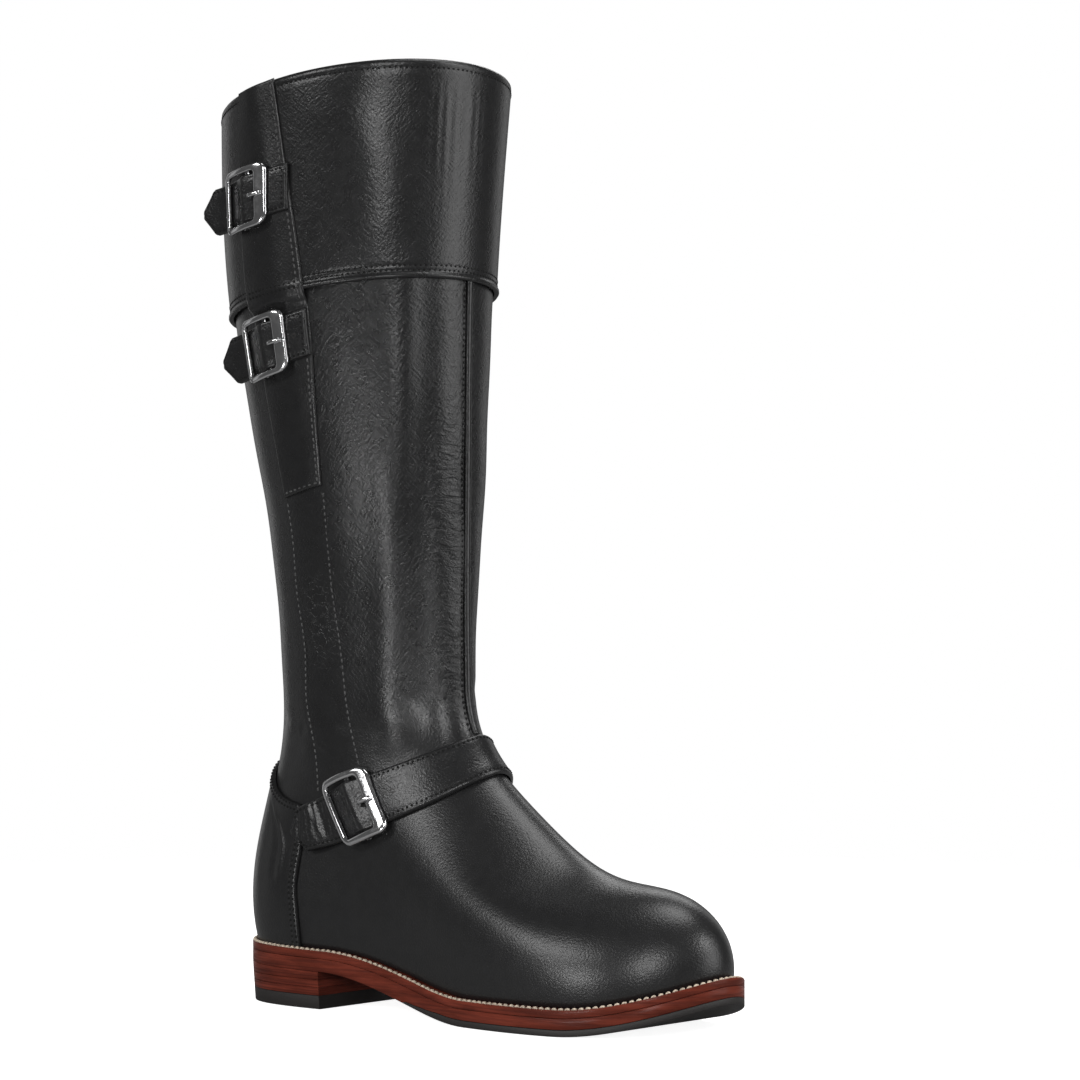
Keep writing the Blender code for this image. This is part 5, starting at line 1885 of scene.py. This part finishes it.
def grown(outline, edge):
    """The outline moved out by a further edge."""
    left, right = outline
    closed = np.concatenate([left, right[-2:0:-1]])
    along = np.roll(closed, -3, axis=0) - np.roll(closed, 3, axis=0)
    moved = closed + unit(np.stack([-along[:, 1], along[:, 0]], -1)) * edge
    count = len(left)
    return moved[:count], np.concatenate([moved[:1], moved[: count - 2 : -1]])


def end_stations(low, high, round_low, round_high, count):
    """Stations along y, close together where an end is round."""
    share = np.linspace(0, 1, count)
    if round_low and round_high:
        share = (1 - np.cos(np.pi * share)) / 2
    elif round_low:
        share = 1 - np.cos(np.pi / 2 * share)
    elif round_high:
        share = np.sin(np.pi / 2 * share)
    return low + share * (high - low)


def rungs(outline, y, z):
    """Left and right points of an outline at the stations y, at the heights z."""
    sides = []
    for line in outline:
        order = np.argsort(line[:, 1])
        x = np.interp(y, line[order, 1], line[order, 0])
        sides.append(np.stack([x, y, z], -1))
    left, right = sides
    for end in (0, -1):
        if abs(left[end, 0] - right[end, 0]) < 1.0:
            left[end, 0] = right[end, 0] = (left[end, 0] + right[end, 0]) / 2
    return left, right


def rubber_top(y):
    share = np.clip((RUBBER_REAR_Y - y) / RUBBER_SKIVE, 0, 1)
    return sole_bottom(y) + RUBBER_EDGE + (RUBBER_THICK - RUBBER_EDGE) * share


# Rounded side of a sole layer: edge moved out, share of the height, added height
SIDE_ROUND = (
    (-0.5, 0.0, 0.0),
    (-0.1, 0.0, 0.05),
    (0.0, 0.0, 0.2),
    (0.0, 1.0, -0.2),
    (-0.1, 1.0, -0.05),
    (-0.5, 1.0, 0.0),
)


def sole_layer(outline, low_y, high_y, rounds, low_z, high_z, count=220, taper=(0.0, 0.0)):
    """Layer of the sole between two heights, with rounded edges."""
    loops = []
    for edge, share, rise in SIDE_ROUND:
        shape = grown(outline, edge - taper[0] * (1 - share) - taper[1] * share)
        first = shape[0][:, 1].min() if rounds[0] else low_y
        last = shape[0][:, 1].max() if rounds[1] else high_y
        y = end_stations(first, last, *rounds, count)
        loops.append(rungs(shape, y, low_z(y) + share * (high_z(y) - low_z(y)) + rise))
    return stack(loops)


WELT_SECTION = (
    (-WELT_INSET, 0.0, 0.0),
    (0.0, 0.15, 0.0),
    (0.0, 0.56, -0.02),
    (0.0, 0.66, -0.30),
    (0.0, 0.88, -0.30),
    (-0.35, 1.0, 0.0),
    (-0.12, 1.0, -0.06),
    (0.0, 1.0, -0.3),
    (0.0, 1.0, -WELT_THICK + 0.2),
    (-0.1, 1.0, -WELT_THICK + 0.05),
    (-0.5, 1.0, -WELT_THICK),
    (-WELT_INSET, 0.0, -WELT_THICK),
)


def welt_ring(u, offset, share, rise):
    """Points of the welt round the boot: offset, share of its edge and rise over its top."""
    plan = feather(u) + outward(u) * (offset + share * EDGE_SPLINE(np.abs(u)))[:, None]
    return np.concatenate([plan, (sole_top(plan[:, 1]) + rise)[:, None]], axis=1)


class BOOT_OT_sole(bpy.types.Operator):
    """Makes the welt, outsole, forefoot rubber and stacked heel"""

    bl_idname = "boot.make_sole"
    bl_label = "Make sole and heel"

    def execute(self, context):
        outline = sole_outline(None)
        u = np.linspace(-1, 1, 620, endpoint=False)
        welt = Piece("welt_edge")
        welt.add(ring_tube(np.stack([welt_ring(u, *row) for row in WELT_SECTION], 1)))
        edge = finish("sole_edge_finish", brown_edge, 1.0, 0.45, 0.30)
        welt.write(edge, "brown_leather", stands_for=("welt",))

        def outsole_low(y):
            return np.where(y <= RUBBER_REAR_Y, rubber_top(y) + 0.15, sole_bottom(y))

        def outsole_high(y):
            return sole_top(y) - WELT_THICK - 0.15

        outsole = Piece("outsole_edge")
        outsole.add(sole_layer(outline, None, None, (True, True), outsole_low, outsole_high))
        outsole.write(edge, "brown_leather", stands_for=("outsole",))

        rubber = Piece("forefoot_rubber_sole")
        rubber.add(sole_layer(outline, None, RUBBER_REAR_Y, (True, False), sole_bottom, rubber_top))
        dull = finish("black_rubber_finish", rubber_look)
        rubber.write(dull, "black_rubber", stands_for=("forefoot_rubber",))

        heel = finish("heel_stack_finish", brown_edge, 1.25, 0.6, 0.32)
        layer = (BREAST_RISE - GAP - TOP_PIECE) / LIFT_COUNT
        for i in range(LIFT_COUNT + 1):
            base = TOP_PIECE + 0.12 + (i - 1) * layer if i else 0.0
            roof = TOP_PIECE + i * layer
            taper = [HEEL_TAPER * max(1 - height / BREAST_RISE, 0) for height in (base, roof)]

            def low_z(y, height=base):
                return np.full(y.shape, height)

            def high_z(y, height=roof, top=i == LIFT_COUNT):
                return sole_bottom(y) - 0.12 if top else np.full(y.shape, height)

            node = f"heel_lift_{LIFT_COUNT + 1 - i}" if i else "heel_top_piece"
            lift = Piece(node + "_layer")
            lift.add(sole_layer(outline, BREAST_Y, None, (False, True), low_z, high_z, 140, taper))
            if i:
                lift.write(heel, "brown_leather", stands_for=(node,))
            else:
                lift.write(dull, "black_rubber", stands_for=(node,))
        return {"FINISHED"}


# One stitch: place along it, share of its thickness, rise
STITCH_SHAPE = (
    (-0.96, 0.45, -0.5),
    (-0.62, 0.92, -0.05),
    (0.0, 1.0, 0.12),
    (0.62, 0.92, -0.05),
    (0.96, 0.45, -0.5),
)


def stitch_row(piece, line, over, pitch, length, thick):
    """Adds stitches along a line of points. Over is the same line a millimetre higher."""
    run = run_length(line)
    count = max(int(round(run[-1] / pitch)), 1)
    at = (np.arange(count) + 0.5) * run[-1] / count

    def along(points, places):
        return np.stack([np.interp(places, run, points[:, axis]) for axis in range(3)], -1)

    middle = along(line, at)
    out = unit(along(over, at) - middle)
    before = along(line, np.maximum(at - 0.4, 0))
    ahead = unit(along(line, np.minimum(at + 0.4, run[-1])) - before)
    beside = np.cross(out, ahead)
    angle = circle(6)[:, None, None]
    rings = []
    for place, size, rise in STITCH_SHAPE:
        base = middle + ahead * place * length / 2 + out * rise * thick * 0.6
        ring = np.cos(angle) * beside + 0.75 * np.sin(angle) * out
        rings.append(base + ring * size * thick / 2)
    piece.add(tubes(np.array(rings).transpose(2, 0, 1, 3)))


def skin_row(u, z, lift):
    """A line on the upper and the same line a millimetre higher."""
    v = v_at_height(u, z)
    return skin(u, v, lift), skin(u, v, lift + 1)


def strap_rows(strap):
    """Rows of stitches along the strap's two edges and across its sewn end."""
    rows = []
    for sign in (1, -1):
        t = np.linspace(strap.tip + 5, strap.end - 2, 160)
        w = sign * np.maximum(strap.half_width(t) - STRAP_SEAM, 0.3)
        keep = np.abs(t) > (FRAME_LENGTH / 2 - 5 if strap.name == "ankle" else 8)
        for part in (t < 0, t > 0):
            mask = keep & part
            rows.append((t[mask], w[mask]))
    if strap.name != "ankle":
        half = strap.width / 2 - STRAP_SEAM
        w = np.linspace(-half, half, 30)
        rows.append((np.full(w.shape, strap.end - 2.4), w))
    heights = (STRAP_THICK, STRAP_THICK + 1)
    return [[strap.place(t, w, height) for height in heights] for t, w in rows]


class BOOT_OT_stitches(bpy.types.Operator):
    """Sews the black seams, the worn grey seams of the flap and the cream welt seam"""

    bl_idname = "boot.make_stitches"
    bl_label = "Make stitches"

    def execute(self, context):
        sizes = context.scene.boot_sizes
        colours = context.scene.boot_colours
        # The black thread is near black and matte, darker than the leather: it is real black
        # thread, and its extra darkness is painted shade of its stitch holes.
        self.sew("black", self.black_rows(), BLACK_STITCH, (0.002, 0.002, 0.002), 0.9)
        self.sew("grey", self.grey_rows(), GREY_STITCH, tuple(colours.seam_thread), 0.6)
        u = np.linspace(-1, 1, 900)
        cream = Piece("welt_stitches")
        line = welt_ring(u, 0.0, WELT_SEAM_SHARE, 0.25)
        over = welt_ring(u, 0.0, WELT_SEAM_SHARE, 1.25)
        pitch = sizes.welt_pitch / MM
        stitch_row(cream, line, over, pitch, WELT_STITCH * pitch, sizes.welt_thread / MM)
        cream.write(finish("cream_thread", thread_look, tuple(colours.welt_thread), 0.65))
        return {"FINISHED"}

    def sew(self, tone, rows, shares, colour, rough):
        """Sews rows of one thread, with its pitch, length and thickness as shares of the seam's."""
        sizes = bpy.context.scene.boot_sizes
        pitch = sizes.seam_pitch / MM
        thick = sizes.thread / MM
        piece = Piece(tone + "_stitches")
        for line, over in rows:
            stitch_row(piece, line, over, shares[0] * pitch, shares[1] * pitch, shares[2] * thick)
        piece.write(finish(tone + "_thread", thread_look, colour, rough), "black_fabric")

    def black_rows(self):
        u = cuff_columns(500)[4:-4]
        lift = GAP + CUFF_THICK - 0.2
        for rise in (3.4, 5.6):
            yield self.cuff_row(u, edge_height(u, CUFF_EDGE) + rise, lift)
        yield self.cuff_row(u, edge_height(u, COLLAR_EDGE) - 2.9, lift)
        top = float(edge_height(0.0, CUFF_EDGE)) - 3
        z = np.linspace(float(STRAP_HIGH(0.0)) + 2, top, 220)
        yield skin_row(2.9 / girth(0.0, v_at_height(0.0, z)), z, 0.0)
        for sign in (1, -1):
            v = np.linspace(ZIP_LOW_V, 1.64, 240)
            side = sign * (ZIP_HALF + 2.2)
            yield zip_line(v, side, 0.0), zip_line(v, side, 1.0)
        for strap in STRAPS:
            yield from strap_rows(strap)
        for inset in (1.2, COUNTER_BAND - 0.4):
            high = 1 - inset / COUNTER_TALL
            end = 1 - 2 * inset / COUNTER_WIDE
            across = np.linspace(-1, 1, 300) * end
            yield self.counter_row(across, np.full(across.shape, high))
            share = np.linspace(0.02, high, 160)
            for sign in (1, -1):
                yield self.counter_row(np.full(share.shape, sign * end), share)
        side = np.linspace(0.08, 0.92, 60)
        for rise in (1.4, 3.6):
            middle = FLAP_SPLINE(CUFF_EDGE[0]) * (1 - side) + FLAP_REAR_U * side
            z = edge_height(middle, CUFF_EDGE) + rise
            yield self.flap_row(middle, z, FLAP_STEP)

    def grey_rows(self):
        share = np.linspace(0.01, 0.99, 300)
        u, z = flap_place(np.full(share.shape, 1.8 / FLAP_WIDE), share)
        raised = FLAP_STEP * ease((z - edge_height(u, CUFF_EDGE) - 0.2) / 0.8)
        clear = np.ones(share.shape, bool)
        for sewn_z in column(CALF_STRAPS, 2):
            clear &= np.abs(z - sewn_z) > CALF_WIDTH / 2 + 0.5
        for part in self.runs(clear):
            yield self.flap_row(u[part], z[part], raised[part])
        side = np.linspace(0.06, 0.94, 60)
        u, z = flap_place(side, np.full(side.shape, 1.8 / FLAP_TALL))
        yield self.flap_row(u, z, 0.0)
        for seam, top in ((SEAM_REAR, 235.0), (SEAM_FRONT, 240.0)):
            z = np.linspace(100.0, top, 240)
            yield skin_row(seam(z), z, 0.05)

    def runs(self, mask):
        """Unbroken runs of a mask, as slices."""
        edges = np.flatnonzero(np.diff(np.concatenate([[0], mask.astype(int), [0]])))
        return [slice(a, b) for a, b in zip(edges[::2], edges[1::2]) if b - a > 3]

    def cuff_row(self, u, z, lift):
        v = leg_v(u, z)
        return skin(u, v, lift), skin(u, v, lift + 1)

    def counter_row(self, across, share):
        return skin_row(*counter_place(across, share), counter_lift(across, share))

    def flap_row(self, u, z, raised):
        lift = flap_seat(u, z) + flap_thick(u, z) + raised
        return flap_skin(u, z, lift), flap_skin(u, z, lift + 1)


def toward(turn):
    """Level direction from the boot: turn is measured from the camera to the right, in degrees."""
    base = math.radians(VIEW_TURN)
    back = np.array([-math.sin(base), -math.cos(base), 0.0])
    right = np.array([math.cos(base), -math.sin(base), 0.0])
    turn = math.radians(turn)
    return math.cos(turn) * back + math.sin(turn) * right


# Soft lights: name, turn from the camera, distance, height, width, length, watts, aim height, roll
LIGHTS = (
    ("front_strip", 2.0, 1.9, 0.70, 0.32, 0.80, 10.5, 0.35, 0.0),
    ("low_strip", -36.0, 0.55, 0.075, 0.17, 0.065, 0.66, 0.18, 0.0),
    ("right_box", 72.0, 1.6, 0.45, 0.90, 1.30, 10.0, 0.25, 0.0),
    ("toe_box", 66.0, 2.6, 1.75, 0.60, 0.60, 12.0, 0.05, 0.0),
    ("left_box", -57.0, 2.6, 1.42, 1.50, 0.55, 26.0, 0.04, 25.0),
    ("top_box", 95.0, 0.45, 1.60, 0.70, 0.70, 8.0, 0.05, 0.0),
    ("back_box", 165.0, 1.4, 1.10, 0.80, 0.50, 3.4, 0.05, 0.0),
    ("side_strip", -116.0, 1.6, 0.35, 0.40, 1.20, 0.4, 0.25, 0.0),
    ("rim_left", -150.0, 1.6, 0.45, 0.50, 1.30, 1.0, 0.25, 0.0),
    ("rim_right", 150.0, 1.6, 0.45, 0.50, 1.30, 1.0, 0.25, 0.0),
)
WORLD_LIGHT = 0.08
FLOOR_GLOW = 0.90
FLOOR_BOUNCE = 0.05
FLOOR_WHITE = 0.86
FLOOR_DIM = 0.25
FLOOR_FRONT = 0.62
FLOOR_BACK = 3.0
FLOOR_HALF = 2.0
FLOOR_UNDER = 0.0002
FLOOR_SOLID = 330.0
FLOOR_GONE = 900.0
LIGHT_AIM_Y = 0.03


class BOOT_OT_stage(bpy.types.Operator):
    """Lays the pale floor, hangs the soft lights and places the camera"""

    bl_idname = "boot.make_stage"
    bl_label = "Make stage"

    def execute(self, context):
        self.floor()
        self.world()
        for row in LIGHTS:
            self.light(*row)
        self.camera()
        context.scene.view_settings.view_transform = "Standard"
        return {"FINISHED"}

    def floor(self):
        front = toward(0) * FLOOR_FRONT
        back = toward(180) * FLOOR_BACK
        right = toward(90) * FLOOR_HALF
        corners = [front - right, front + right, back + right, back - right]
        mesh = bpy.data.meshes.new("floor")
        mesh.from_pydata([tuple(c) for c in corners], [], [(0, 1, 2, 3)])
        made, wires, shader, place = new_material("floor_paper", [FLOOR_WHITE] * 3, 0.9)
        shader.inputs["Specular IOR Level"].default_value = 0.1
        shader.inputs["Emission Color"].default_value = (1, 1, 1, 1)
        seen = wires.add("ShaderNodeLightPath").outputs["Is Camera Ray"]
        glow = wires.ramp(seen, 0.0, 1.0, FLOOR_BOUNCE, FLOOR_GLOW)
        wires.set(shader.inputs["Emission Strength"], glow)
        tone = wires.mix(seen, shade([FLOOR_DIM] * 3), shade([FLOOR_WHITE] * 3))
        wires.set(shader.inputs["Base Color"], tone)
        level = wires.add("ShaderNodeVectorMath", {0: place, 1: (1, 1, 0)}, operation="MULTIPLY")
        level = level.outputs[0]
        away = wires.add("ShaderNodeVectorMath", {0: level}, operation="LENGTH").outputs["Value"]
        wires.set(shader.inputs["Alpha"], wires.ramp(away, FLOOR_SOLID, FLOOR_GONE, 1.0, 0.0))
        mesh.materials.append(made)
        floor = bpy.data.objects.new("floor", mesh)
        floor.location.z = -FLOOR_UNDER
        bpy.context.scene.collection.objects.link(floor)

    def world(self):
        world = bpy.data.worlds.new("studio")
        world.use_nodes = True
        wires = Wiring(world.node_tree)
        shade = world.node_tree.nodes["Background"]
        shade.inputs["Color"].default_value = (1, 1, 1, 1)
        seen = wires.add("ShaderNodeLightPath").outputs["Is Camera Ray"]
        wires.set(shade.inputs["Strength"], wires.ramp(seen, 0.0, 1.0, WORLD_LIGHT, 1.0))
        bpy.context.scene.world = world

    def light(self, name, turn, distance, height, wide, tall, watts, aim, rolled):
        data = bpy.data.lights.new(name, "AREA")
        data.shape = "RECTANGLE"
        data.size = wide
        data.size_y = tall
        data.energy = watts
        lamp = bpy.data.objects.new(name, data)
        lamp.location = Vector(toward(turn) * distance + np.array([0, 0, height]))
        look = Vector((0, LIGHT_AIM_Y, aim)) - lamp.location
        lamp.rotation_euler = look.to_track_quat("-Z", "Y").to_euler()
        lamp.rotation_euler.rotate_axis("Z", math.radians(rolled))
        lamp.visible_camera = False
        bpy.context.scene.collection.objects.link(lamp)

    def camera(self):
        data = bpy.data.cameras.new("photo_view")
        data.sensor_width = SENSOR
        data.sensor_height = SENSOR
        data.sensor_fit = "HORIZONTAL"
        data.lens = SENSOR * VIEW_LENS
        camera = bpy.data.objects.new("photo_view", data)
        place = toward(0) * VIEW_DISTANCE + np.array([0, 0, VIEW_HEIGHT])
        camera.location = Vector((place - ORIGIN) * MM)
        look = -toward(0) + VIEW_AIM_RIGHT * toward(90) + VIEW_AIM_UP * np.array([0, 0, 1])
        camera.rotation_euler = Vector(look).to_track_quat("-Z", "Y").to_euler()
        bpy.context.scene.collection.objects.link(camera)
        bpy.context.scene.camera = camera


PIECE_OPERATORS = (
    BOOT_OT_upper,
    BOOT_OT_cuff,
    BOOT_OT_flap,
    BOOT_OT_counter,
    BOOT_OT_piping,
    BOOT_OT_straps,
    BOOT_OT_buckles,
    BOOT_OT_zip,
    BOOT_OT_sole,
    BOOT_OT_stitches,
    BOOT_OT_stage,
)


class BOOT_PT_panel(bpy.types.Panel):
    """Lists the boot's sizes, colours and making steps"""

    bl_idname = "BOOT_PT_panel"
    bl_label = "Riding boot"
    bl_space_type = "VIEW_3D"
    bl_region_type = "UI"
    bl_category = "Boot"

    def draw(self, context):
        for group in (context.scene.boot_sizes, context.scene.boot_colours):
            box = self.layout.box()
            for name in group.__annotations__:
                box.prop(group, name)
        for step in PIECE_OPERATORS:
            self.layout.operator(step.bl_idname)


CLASSES = (BootSizes, BootColours, *PIECE_OPERATORS, BOOT_PT_panel)


def register():
    for each in CLASSES:
        bpy.utils.register_class(each)
    bpy.types.Scene.boot_sizes = PointerProperty(type=BootSizes)
    bpy.types.Scene.boot_colours = PointerProperty(type=BootColours)


def unregister():
    del bpy.types.Scene.boot_colours
    del bpy.types.Scene.boot_sizes
    for each in reversed(CLASSES):
        bpy.utils.unregister_class(each)


def main():
    register()
    for step in PIECE_OPERATORS:
        getattr(bpy.ops.boot, step.bl_idname.split(".")[1])()


if __name__ == "__main__":
    main()
